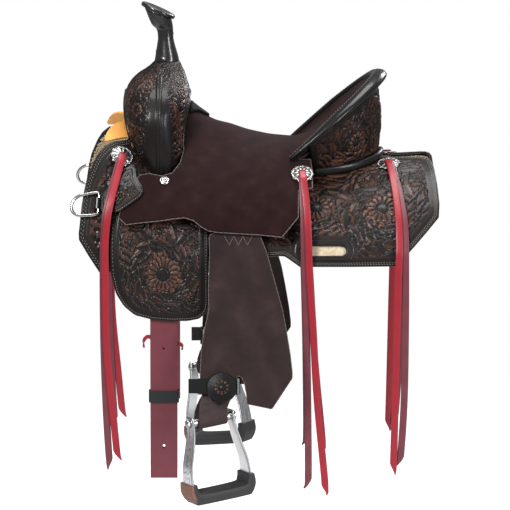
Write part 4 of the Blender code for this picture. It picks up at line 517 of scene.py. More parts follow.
def leather_sheet(name, loops, cell, place, thickness, relief, body, materials, replaces=(),
                  flip=False):
    """A closed leather sheet: a carved face cut to its outline, its rim, and a plain back."""
    uv, faces, inner, _ = cut_grid(loops, cell)
    height, tone = relief(uv, inner)
    top = place(uv[:, 0], uv[:, 1],
                thickness + height - rim_round(inner, min(EDGE_RADIUS, thickness * 0.45)))
    sheet_faces = len(faces)
    rim = boundary(faces)
    ring = sorted({i for pair in rim for i in pair})
    lower = {i: len(uv) + k for k, i in enumerate(ring)}
    down = place(uv[ring, 0], uv[ring, 1], np.zeros(len(ring)))
    faces += [[b, a, lower[a], lower[b]] for a, b in rim]
    cut_faces = range(sheet_faces, len(faces)) if len(materials) > 1 else ()
    back_uv, back_faces, _, _ = cut_grid(loops, max(cell * 4, 7.0))
    back = place(back_uv[:, 0], back_uv[:, 1], np.full(len(back_uv), BACK_LIFT))
    shift = len(uv) + len(ring)
    faces += [[i + shift for i in f[::-1]] for f in back_faces]
    points = np.concatenate([top, down, back])
    tones = np.concatenate([tone, np.full(len(ring) + len(back_uv), BACK_TONE)])
    if flip:
        faces = [f[::-1] for f in faces]
    return make_object(name, points, faces, materials, body, replaces, tones, cut_faces)


print("sheet tools ready")

# %% [markdown]
# Floral carving is cut in leather by hand: each leaf and petal is outlined, the ground round it is
# beaten down and stippled, and the raised parts are dyed lighter. The carver below does the same on
# a flat map of heights and tones, which the sheets then read point by point. The numbers in its
# forms are cutting depths in mm and shares of a form's own size.

# %% The carver


class Carving:
    """A flat map of heights in mm and tones, at a fixed step over a rectangle."""

    STEP, SPARE_LEAVES = 0.8, 4200
    GROUND, CUT, MARGIN = -1.3, -2.0, 1.3

    def __init__(self, low, high, seed):
        self.low = np.asarray(low, float)
        size = np.ceil((np.asarray(high) - self.low) / self.STEP).astype(int) + 2
        self.u, self.v = np.meshgrid(*(self.low[i] + self.STEP * np.arange(size[i]) for i in (0, 1)),
                                     indexing="ij")
        self.rng = np.random.default_rng(seed)
        grain = self.rng.random(self.u.shape)
        self.height = self.GROUND - 0.5 * grain
        self.tone = 0.02 + 0.2 * grain
        self.taken = np.zeros(self.u.shape, bool)

    def window(self, centre, reach):
        """The part of the map that a form about a centre can touch."""
        a = np.clip(((np.asarray(centre) - reach - self.low) / self.STEP).astype(int), 0, None)
        b = np.clip(((np.asarray(centre) + reach - self.low) / self.STEP).astype(int) + 1, 0, None)
        return slice(a[0], b[0]), slice(a[1], b[1])

    def lay(self, where, inside, height, tone):
        """Puts a raised form down: its own face within, and a dark cut just outside it."""
        cut = (inside <= 0) & (inside > -self.MARGIN)
        self.height[where] = np.where(inside > 0, height, np.where(cut, self.CUT, self.height[where]))
        self.tone[where] = np.where(inside > 0, tone, np.where(cut, 0.0, self.tone[where]))
        self.taken[where] |= inside > -self.MARGIN * 1.5

    def flower(self, u, v, radius, petals=12, turn=0.0, core=0.27):
        """A flower seen from above: two rings of round petals about a stippled disc."""
        where = self.window((u, v), radius * 1.15)
        du, dv = self.u[where] - u, self.v[where] - v
        away, angle = np.hypot(du, dv), np.arctan2(dv, du) + turn
        for size, lift, offset in ((1.0, 0.2, 0.0), (0.74, 0.9, math.pi / petals)):
            share = np.abs(np.cos((angle + offset) * petals / 2))
            rim = radius * size * (0.84 + 0.16 * share**0.6)
            inside = rim - away
            run = np.clip(away / rim, 0, 1)
            cup = np.clip(np.sin(np.clip((run - core) / (1 - core), 0, 1) * math.pi), 0, 1)
            cuts = 0.5 + 0.5 * np.cos((angle + offset) * petals * 3)
            face = lift - 0.7 + 1.4 * cup * share**0.5 + 0.8 * run**4 - 0.3 * cuts * cup
            tone = 0.5 + 0.5 * run**2 * share - 0.26 * cuts
            face = np.where(share < 0.2, self.CUT, face)
            self.lay(where, inside, face, np.where(share < 0.2, 0.0, tone))
        disc = radius * core - away
        dots = np.cos(du * 2.6 + dv * 0.6) * np.cos(dv * 2.6 - du * 0.6)
        self.lay(where, disc, 0.3 + 1.4 * np.clip(disc / radius / core, 0, 1) + 0.6 * dots,
                 0.26 + 0.34 * dots)

    def leaf(self, path, width, lobes=4, tone=0.62):
        """A leaf along a bent line, lobed on both sides, with a mid rib and slanting cuts."""
        path = np.asarray(path, float)
        t = np.linspace(0, 1, 15)[:, None]
        line = (1 - t) ** 2 * path[0] + 2 * t * (1 - t) * path[1] + t**2 * path[2]
        where = self.window(line.mean(0), np.abs(line - line.mean(0)).max() + width * 1.6 + 2)
        u, v = self.u[where], self.v[where]
        best, along, side = np.full(u.shape, 1e9), np.zeros(u.shape), np.zeros(u.shape)
        for k in range(len(line) - 1):
            run = line[k + 1] - line[k]
            length = np.linalg.norm(run)
            s = np.clip(((u - line[k, 0]) * run[0] + (v - line[k, 1]) * run[1]) / length**2, 0, 1)
            du, dv = u - line[k, 0] - s * run[0], v - line[k, 1] - s * run[1]
            gap = np.hypot(du, dv)
            closer = gap < best
            best = np.where(closer, gap, best)
            along = np.where(closer, (k + s) / (len(line) - 1), along)
            side = np.where(closer, np.sign(run[0] * dv - run[1] * du), side)
        body = np.clip(np.sin(math.pi * np.clip(along, 0, 1) ** 0.75), 0, 1) ** 0.7
        scallop = np.abs(np.sin(math.pi * (along * lobes + 0.12 * best / width)))
        reach = width * body * (0.72 + 0.28 * scallop**0.6)
        inside = reach - best
        share = np.clip(best / np.maximum(reach, 0.1), 0, 1)
        rib = np.exp(-((best / 0.9) ** 2))
        cuts = 0.5 + 0.5 * np.cos(2 * math.pi * (along * lobes * 2 - share * 0.7))
        face = 0.6 - 1.0 * share**2 + 0.8 * share**5 + 0.5 * rib - 0.45 * cuts * share
        shade = tone * (0.45 + 0.55 * share) + 0.12 * side - 0.25 * cuts * (1 - share) * 0.8
        self.lay(where, inside, face, np.clip(shade, 0.08, 1))

    def scroll(self, u, v, radius, start, sweep, width=2.2, growth=5.0):
        """A stem that runs round a flower, its distance growing as it goes."""
        where = self.window((u, v), radius + growth + width + 3)
        du, dv = self.u[where] - u, self.v[where] - v
        angle = (np.arctan2(dv, du) - start) * math.copysign(1, sweep) % (2 * math.pi)
        along = angle / abs(sweep)
        away = np.abs(np.hypot(du, dv) - radius - growth * along)
        inside = np.where(along <= 1, width * (1 - 0.6 * along) - away, -9.0)
        share = np.clip(away / width, 0, 1)
        self.lay(where, inside, 0.5 - 0.9 * share**2, 0.5 - 0.3 * share)

    def fill(self, centres, spacing=13.0, length=30.0, width=7.5):
        """Fills the free ground with wreaths of leaves that wind out from the flowers, and small ones."""
        centres = np.asarray(centres, float)
        weight = np.where(centres[:, 2] > 25, 14.0, 0.0)
        spots = []
        for ring in range(9):
            for k, (u, v, radius) in enumerate(centres):
                reach = radius + spacing * (0.5 + 0.72 * ring)
                count = max(int(2 * math.pi * reach / (length * 0.5)), 5)
                for angle in self.rng.random() * 6 + 2 * math.pi / count * np.arange(count):
                    spots.append((u + reach * math.cos(angle), v + reach * math.sin(angle), k, 1.0))
        size = (self.u[-1, 0] - self.low[0], self.v[0, -1] - self.low[1])
        free = self.rng.random((self.SPARE_LEAVES, 2)) * size + self.low
        spots += [(u, v, -1, 0.62) for u, v in free]
        for u, v, home, size in spots:
            i, j = int((u - self.low[0]) / self.STEP), int((v - self.low[1]) / self.STEP)
            if not (0 <= i < self.u.shape[0] and 0 <= j < self.u.shape[1]) or self.taken[i, j]:
                continue
            away = (u, v) - centres[:, :2]
            k = int(np.argmin(np.linalg.norm(away, axis=1) - centres[:, 2] - weight))
            if home not in (k, -1):
                continue
            size = size * self.rng.uniform(0.9, 1.1)
            reach, angle = np.linalg.norm(away[k]), math.atan2(away[k][1], away[k][0])
            sweep = length * size / max(reach, 18.0) * (1 if k % 2 else -1)
            flare = length * size * 0.42
            path = []
            for share, grow in ((-0.5, 0.0), (0.0, 0.05), (0.5, 1.0)):
                turn, radius = angle + sweep * share, reach + flare * (grow - 0.35)
                path.append(centres[k, :2] + radius * np.array([math.cos(turn), math.sin(turn)]))
            self.leaf(path, width * size, lobes=5 if size > 0.8 else 3, tone=self.rng.uniform(0.45, 0.75))

    def read(self, uv):
        """Heights and tones at points, between the map's own points."""
        at = (uv - self.low) / self.STEP
        at = np.clip(at, 0, np.array(self.u.shape) - 1.001)
        i = at.astype(int)
        s, t = (at - i).T
        found = []
        for layer in (self.height, self.tone):
            found.append(layer[i[:, 0], i[:, 1]] * (1 - s) * (1 - t)
                         + layer[i[:, 0] + 1, i[:, 1]] * s * (1 - t)
                         + layer[i[:, 0], i[:, 1] + 1] * (1 - s) * t
                         + layer[i[:, 0] + 1, i[:, 1] + 1] * s * t)
        return found


BORDER, BEAD_LINES = 13.0, (14.6, 17.4)


def with_border(carving, border=BORDER, grooves=(4.2, 7.4), beads=BEAD_LINES):
    """Relief of a carved sheet inside a smooth black band with stitch grooves and raised lines."""
    def relief(uv, inner):
        height, tone = carving.read(uv)
        band = inner < beads[1] + 1.6
        ridge = sum(np.exp(-(((inner - at) / 0.8) ** 2)) for at in beads)
        groove = sum(np.exp(-(((inner - at) / 0.7) ** 2)) for at in grooves)
        height = np.where(band, -0.25 + 0.75 * ridge - 0.5 * groove, height)
        tone = np.where(band, np.where(inner < border, 0.2, 0.16 + 0.28 * np.clip(ridge, 0, 1)), tone)
        return height, tone
    return relief


def offset_line(loop, distance, pitch):
    """Evenly spaced points of the line that runs inside a closed outline at a distance."""
    fine = dense(loop, 1.0)
    tangent = unit(np.roll(fine, -2, 0) - np.roll(fine, 2, 0))
    twice_area = np.sum(fine[:, 0] * np.roll(fine[:, 1], -1) - np.roll(fine[:, 0], -1) * fine[:, 1])
    inward = np.stack([-tangent[:, 1], tangent[:, 0]], 1) * np.sign(twice_area)
    moved = fine + inward * distance
    coarse = dense(loop, 4.0)
    gap, _, _ = edge_distance(moved, [coarse])
    moved = moved[gap > distance - 0.35]
    kept = [moved[0]]
    for p in moved[1:]:
        if np.linalg.norm(p - kept[-1]) >= pitch:
            kept.append(p)
    return np.array(kept)


# %% [markdown]
# Stitches, berries and tufts repeat, so one node tree sets them out: it stands a small round form on
# every point it is given, turned by the directions stored there.

# %% The sower of small forms


def sower(name, size, sides, rings, material):
    """A node tree that stands a ball of a size in mm on each point, turned and grown as the point says."""
    tree = bpy.data.node_groups.new(name, "GeometryNodeTree")
    tree.interface.new_socket("Geometry", in_out="INPUT", socket_type="NodeSocketGeometry")
    tree.interface.new_socket("Size", in_out="INPUT", socket_type="NodeSocketVector")
    tree.interface.new_socket("Geometry", in_out="OUTPUT", socket_type="NodeSocketGeometry")
    given = node(tree, "NodeGroupInput")
    ball = node(tree, "GeometryNodeMeshUVSphere", values=(("Segments", sides), ("Rings", rings),
                                                          ("Radius", 0.5)))
    formed = node(tree, "GeometryNodeTransform",
                  links=(("Geometry", ball.outputs[0]), ("Scale", given.outputs["Size"])))
    along, out, grown = (
        node(tree, "GeometryNodeInputNamedAttribute", data_type=kind, values=(("Name", key),)).outputs[0]
        for key, kind in (("along", "FLOAT_VECTOR"), ("out", "FLOAT_VECTOR"), ("grown", "FLOAT"))
    )
    turned = node(tree, "FunctionNodeAlignRotationToVector", axis="X", links=(("Vector", along),))
    upright = node(tree, "FunctionNodeAlignRotationToVector", axis="Z", pivot_axis="X", links=(
        ("Rotation", turned.outputs[0]), ("Vector", out),
    ))
    set_out = node(tree, "GeometryNodeInstanceOnPoints", links=(
        ("Points", given.outputs["Geometry"]), ("Instance", formed.outputs[0]),
        ("Rotation", upright.outputs[0]), ("Scale", grown),
    ))
    whole = node(tree, "GeometryNodeRealizeInstances", links=(("Geometry", set_out.outputs[0]),))
    dressed = node(tree, "GeometryNodeSetMaterial", links=(("Geometry", whole.outputs[0]),),
                   values=(("Material", material),))
    end = node(tree, "NodeGroupOutput")
    tree.links.new(dressed.outputs[0], end.inputs[0])
    size_key = [s.identifier for s in tree.interface.items_tree if s.name == "Size"][0]
    return tree, size_key, [s * MM for s in size]


def sow(name, tool, points, along, out, body, grown=1.0):
    """Bakes small forms at points in mm, lying along one direction and facing another."""
    tree, size_key, size = tool
    seeds = bpy.data.meshes.new(name + "_seeds")
    seeds.from_pydata((np.asarray(points) * MM).tolist(), [], [])
    for key, values in (("along", along), ("out", out)):
        stored = seeds.attributes.new(key, "FLOAT_VECTOR", "POINT")
        stored.data.foreach_set("vector", np.asarray(values, np.float32).ravel())
    scale = np.broadcast_to(np.asarray(grown, np.float32), len(points))
    seeds.attributes.new("grown", "FLOAT", "POINT").data.foreach_set("value", scale)
    holder = bpy.data.objects.new(name + "_holder", seeds)
    scene.collection.objects.link(holder)
    modifier = holder.modifiers.new("sow", "NODES")
    modifier.node_group = tree
    modifier[size_key] = size
    bpy.context.view_layer.update()
    evaluated = holder.evaluated_get(bpy.context.evaluated_depsgraph_get())
    mesh = bpy.data.meshes.new_from_object(evaluated)
    bpy.data.objects.remove(holder)
    mesh.name = name
    mesh.shade_smooth()
    return add_piece(name, mesh, body)


STITCH = sower("stitch", (3.0, 1.0, 0.8), 6, 4, thread_white)
STITCH_PITCH = 4.0
print("stitch size", STITCH[2])


def lay_stitches(loop, distance, place, lift, pitch=STITCH_PITCH):
    """Stitch points, directions and normals along an inner line of a sheet."""
    uv = offset_line(loop, distance, pitch)
    rise = np.full(len(uv), lift)
    at = place(uv[:, 0], uv[:, 1], rise)
    off = place(uv[:, 0], uv[:, 1], rise + 1.0)
    return at, unit(np.roll(at, -1, 0) - np.roll(at, 1, 0)), unit(off - at)


# %% [markdown]
# The skirts and the rigging panels carry most of the carving. Each has a few large flowers where
# the photograph shows them and leaves that swirl between them.

# %% Skirts and rigging panels
CELL = 1.5
SKIRT_OUTLINE = (
    (-239, 62), (-262, 61), (-277, 56), (-289.5, 44), (-299, 28), (-310.5, 0), (-315, -19), (-319.5, -45),
    (-322.5, -73), (-325, -94), (-324.5, -106), (-306, -137), (-286.5, -167), (-250, -163), (-120, -150),
    (0, -137.5), (18, -136.5), (44, -135), (50, -138), (74, -155.5), (95, -155), (165, -155), (248, -154),
    (254, -151), (256, -147), (274, -125), (306, -89), (324.5, -67.5), (326, -46), (323, -17), (318, 10),
    (313, 17.5), (307, 20.5), (296, 21.5), (238, 20.5),
)
SKIRT_TOP = ((238, 24), (40, 24), (-140, 24), (-172, 30), (-207, 50))
PANEL_OUTLINE = (
    (-262, -38), (-266, -70), (-268.5, -100), (-268.5, -134), (-266.5, -168), (-258, -203), (-243.5, -226),
    (-224, -242), (-192, -250.5), (-160, -253), (-128, -252.5), (-108, -248.5), (-96, -238), (-91.5, -225),
    (-91.5, -183), (-91.5, -98), (-96, -62), (-150, -44),
)
SLOT_X, SLOT_Z, SLOT_HALF = (74.0, 157.0), -126.0, 8.75


def from_side(outline, lift, longest=14.0, closed=True):
    """An outline given by x and height, as x and the way round the back."""
    points = dense(outline, longest, closed)
    return np.stack([points[:, 0], way_round(points[:, 0], points[:, 1], lift)], 1)


skirt_line = from_side(SKIRT_OUTLINE, SKIRT_FACE, closed=False)
skirt_line = skirt_line[skirt_line[:, 1] > 24]
skirt_loop = dense(np.concatenate([skirt_line, np.array(SKIRT_TOP, float)]), 7.0)
slot_turns = np.linspace(0, 2 * math.pi, 28, endpoint=False)
slot_end = np.where(np.cos(slot_turns) > 0, SLOT_X[1] - SLOT_HALF, SLOT_X[0] + SLOT_HALF)
slot_x = slot_end + SLOT_HALF * np.cos(slot_turns)
slot_z = SLOT_Z + SLOT_HALF * np.sin(slot_turns)
slot_loop = dense(np.stack([slot_x, way_round(slot_x, slot_z, SKIRT_FACE)], 1), 6.0)
panel_loop = dense(rounded(from_side(PANEL_OUTLINE, 23.2), 1), 6.0)

skirt_carving = Carving(skirt_loop.min(0) - 4, skirt_loop.max(0) + 4, 7)
SKIRT_FLOWERS = ((222, 187, 37), (102, 181, 34), (276, 108, 15), (-290, 236, 13), (-295, 150, 12),
                 (199, 122, 12))
for u, v, r in SKIRT_FLOWERS:
    skirt_carving.flower(u, v, r, petals=14 if r > 20 else 7, turn=0.2)
for path, width in (
    (((130, 214), (160, 236), (196, 222)), 9), (((258, 190), (284, 176), (296, 138)), 9),
    (((182, 170), (160, 140), (188, 108)), 9), (((136, 160), (150, 128), (180, 104)), 8),
    (((60, 190), (44, 220), (56, 244)), 8), (((250, 150), (262, 134), (262, 120)), 7),
):
    skirt_carving.leaf(path, width, lobes=6, tone=0.7)
for u, v, r in SKIRT_FLOWERS[:2]:
    for k in range(3):
        skirt_carving.scroll(u, v, r + 4, 0.4 + k * 2.1, 1.7)
skirt_carving.fill(SKIRT_FLOWERS, spacing=14, length=37, width=8.5)
panel_carving = Carving(panel_loop.min(0) - 4, panel_loop.max(0) + 4, 11)
PANEL_FLOWERS = ((-173, 313, 37), (-180, 250, 15), (-112, 262, 14), (-232, 272, 15), (-120, 356, 15),
                 (-200, 205, 14))
for u, v, r in PANEL_FLOWERS:
    panel_carving.flower(u, v, r, petals=18 if r > 20 else 8)
for k in range(3):
    panel_carving.scroll(*PANEL_FLOWERS[0][:2], 43, 1.2 + k * 2.1, -1.8)
panel_carving.fill(PANEL_FLOWERS, spacing=13, length=34, width=8)
print("skirt map", skirt_carving.u.shape, "panel map", panel_carving.u.shape)


def lifted(place, by, side=OFF):
    """The same surface moved off itself, on the near or the off side."""
    return lambda u, v, rise: place(u, v, rise + by) * mirror(side)


slot_centre = np.array([(SLOT_X[0] + SLOT_X[1]) / 2, slot_loop[:, 1].mean()])
slot_bezel = (slot_loop - slot_centre) * np.array([1.2, 2.0]) + slot_centre
plain_border = with_border(skirt_carving)


def skirt_relief(uv, inner):
    """The carved skirt with a smooth black bezel round the strap slot."""
    height, tone = plain_border(uv, inner)
    gap, _, _ = edge_distance(uv, [slot_bezel])
    near_slot = gap > 0
    ridge = np.exp(-(((gap - 0.5) / 1.0) ** 2))
    tone = np.where(near_slot, 0.2, np.where(ridge > 0.4, 0.35, tone))
    return np.where(near_slot, 0.2, height) + 0.6 * ridge, tone


tree_threads = {NEAR: [], OFF: []}
for side, label in SIDES:
    flip = side == NEAR
    leather_sheet(f"{label}_skirt_tooled", [skirt_loop, slot_loop], CELL, lifted(skirt_place, -5.0, side),
                  5.0, skirt_relief, "tree", [tooled_leather], (f"{label}_skirt",), flip)
    leather_sheet(f"{label}_panel_tooled", [panel_loop], CELL * 0.75, lifted(skirt_place, 0.9, side),
                  5.4, with_border(panel_carving, beads=(12.6, 15.0)), "tree",
                  [tooled_leather], (f"{label}_rigging_panel",), flip)
    for distance in (4.2, 7.4):
        tree_threads[side].append(lay_stitches(skirt_loop, distance, lifted(skirt_place, 0.0, side), -0.5))
    tree_threads[side].append(lay_stitches(panel_loop, 4.2, lifted(skirt_place, 0.0, side), 5.7))
print("stitches on the near skirt", sum(len(t[0]) for t in tree_threads[NEAR]))

# %% [markdown]
# Round pieces are rings joined one to the next. Listed rings are few, so a smooth curve is
# run through them first. Whether the faces look outwards is told from the sign of the volume.

# %% Rings and smooth runs


def smooth_run(stations, count, closed=False):
    """Rows on a smooth curve through given rows, evenly spread by their first three values."""
    rows = np.asarray(stations, float)
    shape = rows.shape[1:]
    rows = rows.reshape(len(rows), -1)
    padded = np.concatenate([rows[-1:], rows, rows[:2]] if closed else [rows[:1], rows, rows[-1:]])
    spans = len(rows) if closed else len(rows) - 1
    fine = []
    for i in range(spans):
        a, b, c, d = padded[i:i + 4]
        for t in np.arange(16) / 16:
            bend, twist = (2 * a - 5 * b + 4 * c - d) * t**2, (3 * b - a - 3 * c + d) * t**3
            fine.append(0.5 * (2 * b + (c - a) * t + bend + twist))
    fine.append(rows[0] if closed else rows[-1])
    fine = np.array(fine)
    steps = np.concatenate([[0], np.cumsum(np.linalg.norm(np.diff(fine[:, :3], axis=0), axis=1))])
    wanted = np.linspace(0, steps[-1], count + 1)[:-1] if closed else np.linspace(0, steps[-1], count)
    made = np.stack([np.interp(wanted, steps, fine[:, k]) for k in range(fine.shape[1])], 1)
    return made.reshape(len(wanted), *shape)


def ring_faces(rows, columns, closed_rows=False):
    """Faces between rings whose points follow one another."""
    faces = []
    for i in range(rows if closed_rows else rows - 1):
        a, b = i * columns, (i + 1) % rows * columns
        faces += [[a + k, a + (k + 1) % columns, b + (k + 1) % columns, b + k] for k in range(columns)]
    return faces


def outward(points, faces):
    """The faces, turned if the closed form they make is inside out."""
    total = 0.0
    for f in faces:
        a = points[f[0]]
        for i in range(1, len(f) - 1):
            total += float(np.dot(a, np.cross(points[f[i]], points[f[i + 1]])))
    return faces if total > 0 else [f[::-1] for f in faces]


def solid_rings(name, rings, materials, body, replaces=(), tone=0.5, side=OFF, closed=False,
                sharp=None):
    """A closed solid through rings of points, with its ends rounded over by a middle point."""
    rings = np.asarray(rings, float)
    rows, columns = rings.shape[:2]
    points = rings.reshape(-1, 3)
    faces = ring_faces(rows, columns, closed)
    tone = np.broadcast_to(tone, (rows, columns)).reshape(-1)
    if not closed:
        ends = np.stack([rings[0].mean(0), rings[-1].mean(0)])
        first, last = len(points), len(points) + 1
        points = np.concatenate([points, ends])
        tone = np.concatenate([tone, [tone[0], tone[-1]]])
        faces += [[(k + 1) % columns, k, first] for k in range(columns)]
        base = (rows - 1) * columns
        faces += [[base + k, base + (k + 1) % columns, last] for k in range(columns)]
    points = points * mirror(side)
    middle = points.mean(0)
    return make_object(name, points, outward(points - middle, faces), materials, body, replaces, tone,
                       sharp=sharp)


def wire_rings(path, radius, sides=12, closed=False):
    """Round sections along a path of points."""
    path = np.asarray(path, float)
    if closed:
        run = unit(np.roll(path, -1, 0) - np.roll(path, 1, 0))
    else:
        run = unit(np.gradient(path, axis=0))
    up = np.tile([0.13, 0.31, 0.94], (len(path), 1))
    first = unit(np.cross(run, up))
    second = np.cross(run, first)
    turns = np.linspace(0, 2 * math.pi, sides, endpoint=False)
    radius = np.broadcast_to(radius, len(path))[:, None, None]
    circle = first[:, None] * np.cos(turns)[:, None] + second[:, None] * np.sin(turns)[:, None]
    return path[:, None] + circle * radius


def strap_rings(path, across, width, thickness, sides=16):
    """Flat sections with round edges along a path, given the way across it at every point."""
    run = unit(np.gradient(path, axis=0))
    across = unit(across - run * np.sum(across * run, -1, keepdims=True))
    face = np.cross(run, across)
    turns = np.linspace(0, 2 * math.pi, sides, endpoint=False) + math.pi / sides
    wide = np.sign(np.cos(turns)) * np.abs(np.cos(turns)) ** 0.35 * np.asarray(width).reshape(-1, 1) / 2
    thick = np.sin(turns) * np.ones(len(path))[:, None] * np.asarray(thickness).reshape(-1, 1) / 2
    return path[:, None] + across[:, None] * wide[..., None] + face[:, None] * thick[..., None]


def edge_cord(name, loop, place, rise, radius, material, body):
    """A thin line of cut leather along the edge of a sheet."""
    line = smooth_run(np.concatenate([loop, np.zeros((len(loop), 1))], 1), len(loop) * 3, closed=True)
    path = place(line[:, 0], line[:, 1], np.full(len(line), rise))
    points = wire_rings(path, radius, 8, closed=True)
    tone = 0.4 + 0.3 * np.sin(np.arange(len(line)))[:, None] * np.ones(8)
    return solid_rings(name, points, [material], body, tone=tone, closed=True)


# %% [markdown]
# The seat is rough-out leather: one piece that runs from the swell over the pocket and up the
# cantle, with its two jockeys. Its cut edges stay pale.

# %% Seat
SEAT_ROUND = 208.0
SEAT_OUTLINE = (
    (-131, 113), (-133, 96), (-135, 71), (-137, 42), (-143, 24), (-157, 9), (-176, 4.5), (-198, 8),
    (-214, 6), (-231, -10), (-243, -30), (-253, -64), (-239, -76), (-210, -72.5), (-182, -70),
    (-158, -66.5), (-134, -64), (-118, -69), (-104, -80), (-91, -87), (-76, -89.5), (-54, -91), (0, -94),
    (41, -98), (70.5, -63), (71, -18), (96, -14), (96, 12),
)
SEAM_X, SEAM_HALF = 59.0, 129.0


def seat_point(u, v):
    """A point of the seat's face at x and a way round it."""
    y = BARREL_HALF * np.sin(v / SEAT_ROUND)
    return np.stack([u, y, seat_height(u, y)], -1)


def seat_place(u, v, rise):
    """A point moved off the seat's face."""
    return off_surface(seat_point, u, v, rise)


def seat_way(x, z):
    """The way round the seat at which it has this height, found by halving."""
    low, high = np.zeros(len(x)), np.full(len(x), 1.5)
    for _ in range(30):
        middle = (low + high) / 2
        above = seat_height(x, BARREL_HALF * np.sin(middle)) > z
        low, high = np.where(above, middle, low), np.where(above, high, middle)
    return SEAT_ROUND * low


side_points = dense(SEAT_OUTLINE, 6.0, closed=False)
seat_half = np.stack([side_points[:, 0], seat_way(side_points[:, 0], side_points[:, 1])], 1)
flank_way = SEAT_ROUND * math.asin((SEAM_HALF - 2) / BARREL_HALF)
seat_half = np.concatenate([[[-129.0, 0.0]], seat_half,
                            [[93.0, flank_way], [72.0, flank_way], [70.0, 0.0]]])
seat_loop = dense(np.concatenate([seat_half[:-1], [[70.0, 0.0]], (seat_half * [1, -1])[1:-1][::-1]]), 6.0)


def seat_relief(uv, inner):
    """Rough-out leather, a little padded, and softened towards its edges."""
    wave = np.sin(uv[:, 0] * 0.11 + 1.3 * np.sin(uv[:, 1] * 0.05)) * np.sin(uv[:, 1] * 0.083)
    return 0.25 * wave * np.clip(inner / 30, 0, 1), 0.45 + 0.12 * wave


leather_sheet("seat_suede", [seat_loop], CELL * 1.9, lifted(seat_place, -5.4), 5.4, seat_relief, "tree",
              [suede, cut_edge], ("seat",), False)


edge_cord("seat_edge", seat_loop, lifted(seat_place, -5.4), 4.3, 0.95, cut_edge, "tree")


def roll_radius(angle):
    """The roll is full behind and thins out towards its two ends."""
    return 9.5 * (0.42 + 0.58 * np.minimum(1, 2 * np.maximum(np.cos(angle), 0)))


def rim_point(angle, grow=0.0, drop=0.0):
    """A point of the cantle's rim at an angle from the rear."""
    return np.stack([52 + (162 + grow) * np.cos(angle), (140 + grow) * np.sin(angle),
                     28 + 140 * np.cos(angle) - drop], -1)


turns = np.radians(np.linspace(-89, 89, 93))[:, None] * np.ones(40)
shares = np.linspace(0, 1, 40)[None, :] * np.ones((93, 1))
seam_y = SEAM_HALF * np.sin(turns)
start = np.stack([np.full(turns.shape, SEAM_X), seam_y, seat_height(SEAM_X, seam_y)], -1)
end = rim_point(turns, 3.0 - roll_radius(turns))
dish = start + (end - start) * shares[..., None]
dish[..., 1] = np.clip(dish[..., 1], -np.abs(seam_y) - 6, np.abs(seam_y) + 6)
dish[..., 2] = start[..., 2] + (end - start)[..., 2] * shares**1.9 + 0.3
lower = dish - np.array([0, 0, 4.0])
shell = np.concatenate([dish, lower[:, ::-1]], 1)
dish_tone = 0.46 + 0.14 * np.sin(shell[..., 0] * 0.09) * np.sin(shell[..., 1] * 0.07)
solid_rings("seat_dish", shell, [suede], "tree", ("seat",), tone=dish_tone, sharp=50)
print("seat outline points", len(seat_loop))

# %% [markdown]
# The swell is carved leather over the fork. It is made column by column round the fork, each from
# the horn down to the gullet arch or the bars, so that its lower edge follows the arch exactly.

# %% Swell
SWELL_LEVELS = np.array((
    (6, -206, -148, 151, 4.0), (22, -217, -143, 155, 4.0), (42, -228.5, -137.5, 160, 3.6),
    (62, -236, -136, 164, 3.2), (84, -241.5, -134, 166, 2.9), (104, -244.5, -131.5, 165, 2.7),
    (122, -244.5, -128, 158, 2.7), (140, -240.5, -129, 144, 2.7), (153, -233, -132.5, 126, 2.7),
    (164, -222, -135.5, 102, 2.7), (174, -209, -139.5, 75, 2.7), (184, -197, -143.5, 48, 2.7),
    (193, -189, -147, 28, 2.7),
))
ARCH_HALF, ARCH_HEIGHT = 104.0, 138.0


def swell_shape(z):
    """The swell's section at a height: its middle, half length, half width and squareness."""
    front, rear, half, square = (smooth_line(SWELL_LEVELS[:, (0, k)], z) for k in (1, 2, 3, 4))
    return (front + rear) / 2, (rear - front) / 2, half, square


def swell_point(turn, z, grow=0.5):
    """A point of the swell at a turn round it (0 at the rear) and a height."""
    middle, length, width, square = swell_shape(z)
    c, s = np.cos(turn), np.sin(turn)
    reach = (np.abs(c) ** square + np.abs(s) ** square) ** (-1 / square)
    return np.stack([middle + (length + grow) * reach * c, (width + grow) * reach * s, z], -1)


fine_turns = np.linspace(0, 2 * math.pi, 2881)
belt = swell_point(fine_turns, np.full(2881, 84.0))
girth = np.concatenate([[0], np.cumsum(np.linalg.norm(np.diff(belt, axis=0), axis=1))])
columns = int(girth[-1] / (CELL * 1.1))
turn_at = np.interp(np.linspace(0, girth[-1], columns, endpoint=False), girth, fine_turns)
girth_at = np.linspace(0, girth[-1], columns, endpoint=False)
heights = np.linspace(193.0, 6.0, 375)
grid_turn, grid_z = np.meshgrid(turn_at, heights, indexing="ij")
trial = swell_point(grid_turn, grid_z)
arch = ARCH_HEIGHT * np.maximum(1 - (trial[..., 1] / ARCH_HALF) ** 2, 0) ** 0.4
over_arch = (np.abs(trial[..., 1]) >= ARCH_HALF) | (trial[..., 2] > arch)
over_skirt = trial[..., 2] > back_height(trial[..., 0], trial[..., 1], SKIRT_FACE) - 3
allowed = over_arch & over_skirt
lowest = np.where(allowed.all(1), 6.0, heights[np.argmin(allowed, 1) - 1])
halves = smooth_line(SWELL_LEVELS[:, (0, 3)], heights)
walk = np.concatenate([[0], np.cumsum(np.hypot(np.diff(heights), np.diff(halves)))])
rows = int(walk[-1] / (CELL * 1.15))
share = np.linspace(0, 1, rows)[None, :] * np.interp(-lowest, -heights, walk)[:, None]
grid_z = np.interp(share, walk, heights)
swell = swell_point(turn_at[:, None] * np.ones((1, rows)), grid_z)
steps = (np.roll(swell, -1, 0) - np.roll(swell, 1, 0), np.gradient(swell, axis=1))
swell_normal = unit(np.cross(steps[1], steps[0]))
swell_normal *= np.sign(np.sum(swell_normal * (swell - [-185, 0, 90]), -1, keepdims=True))
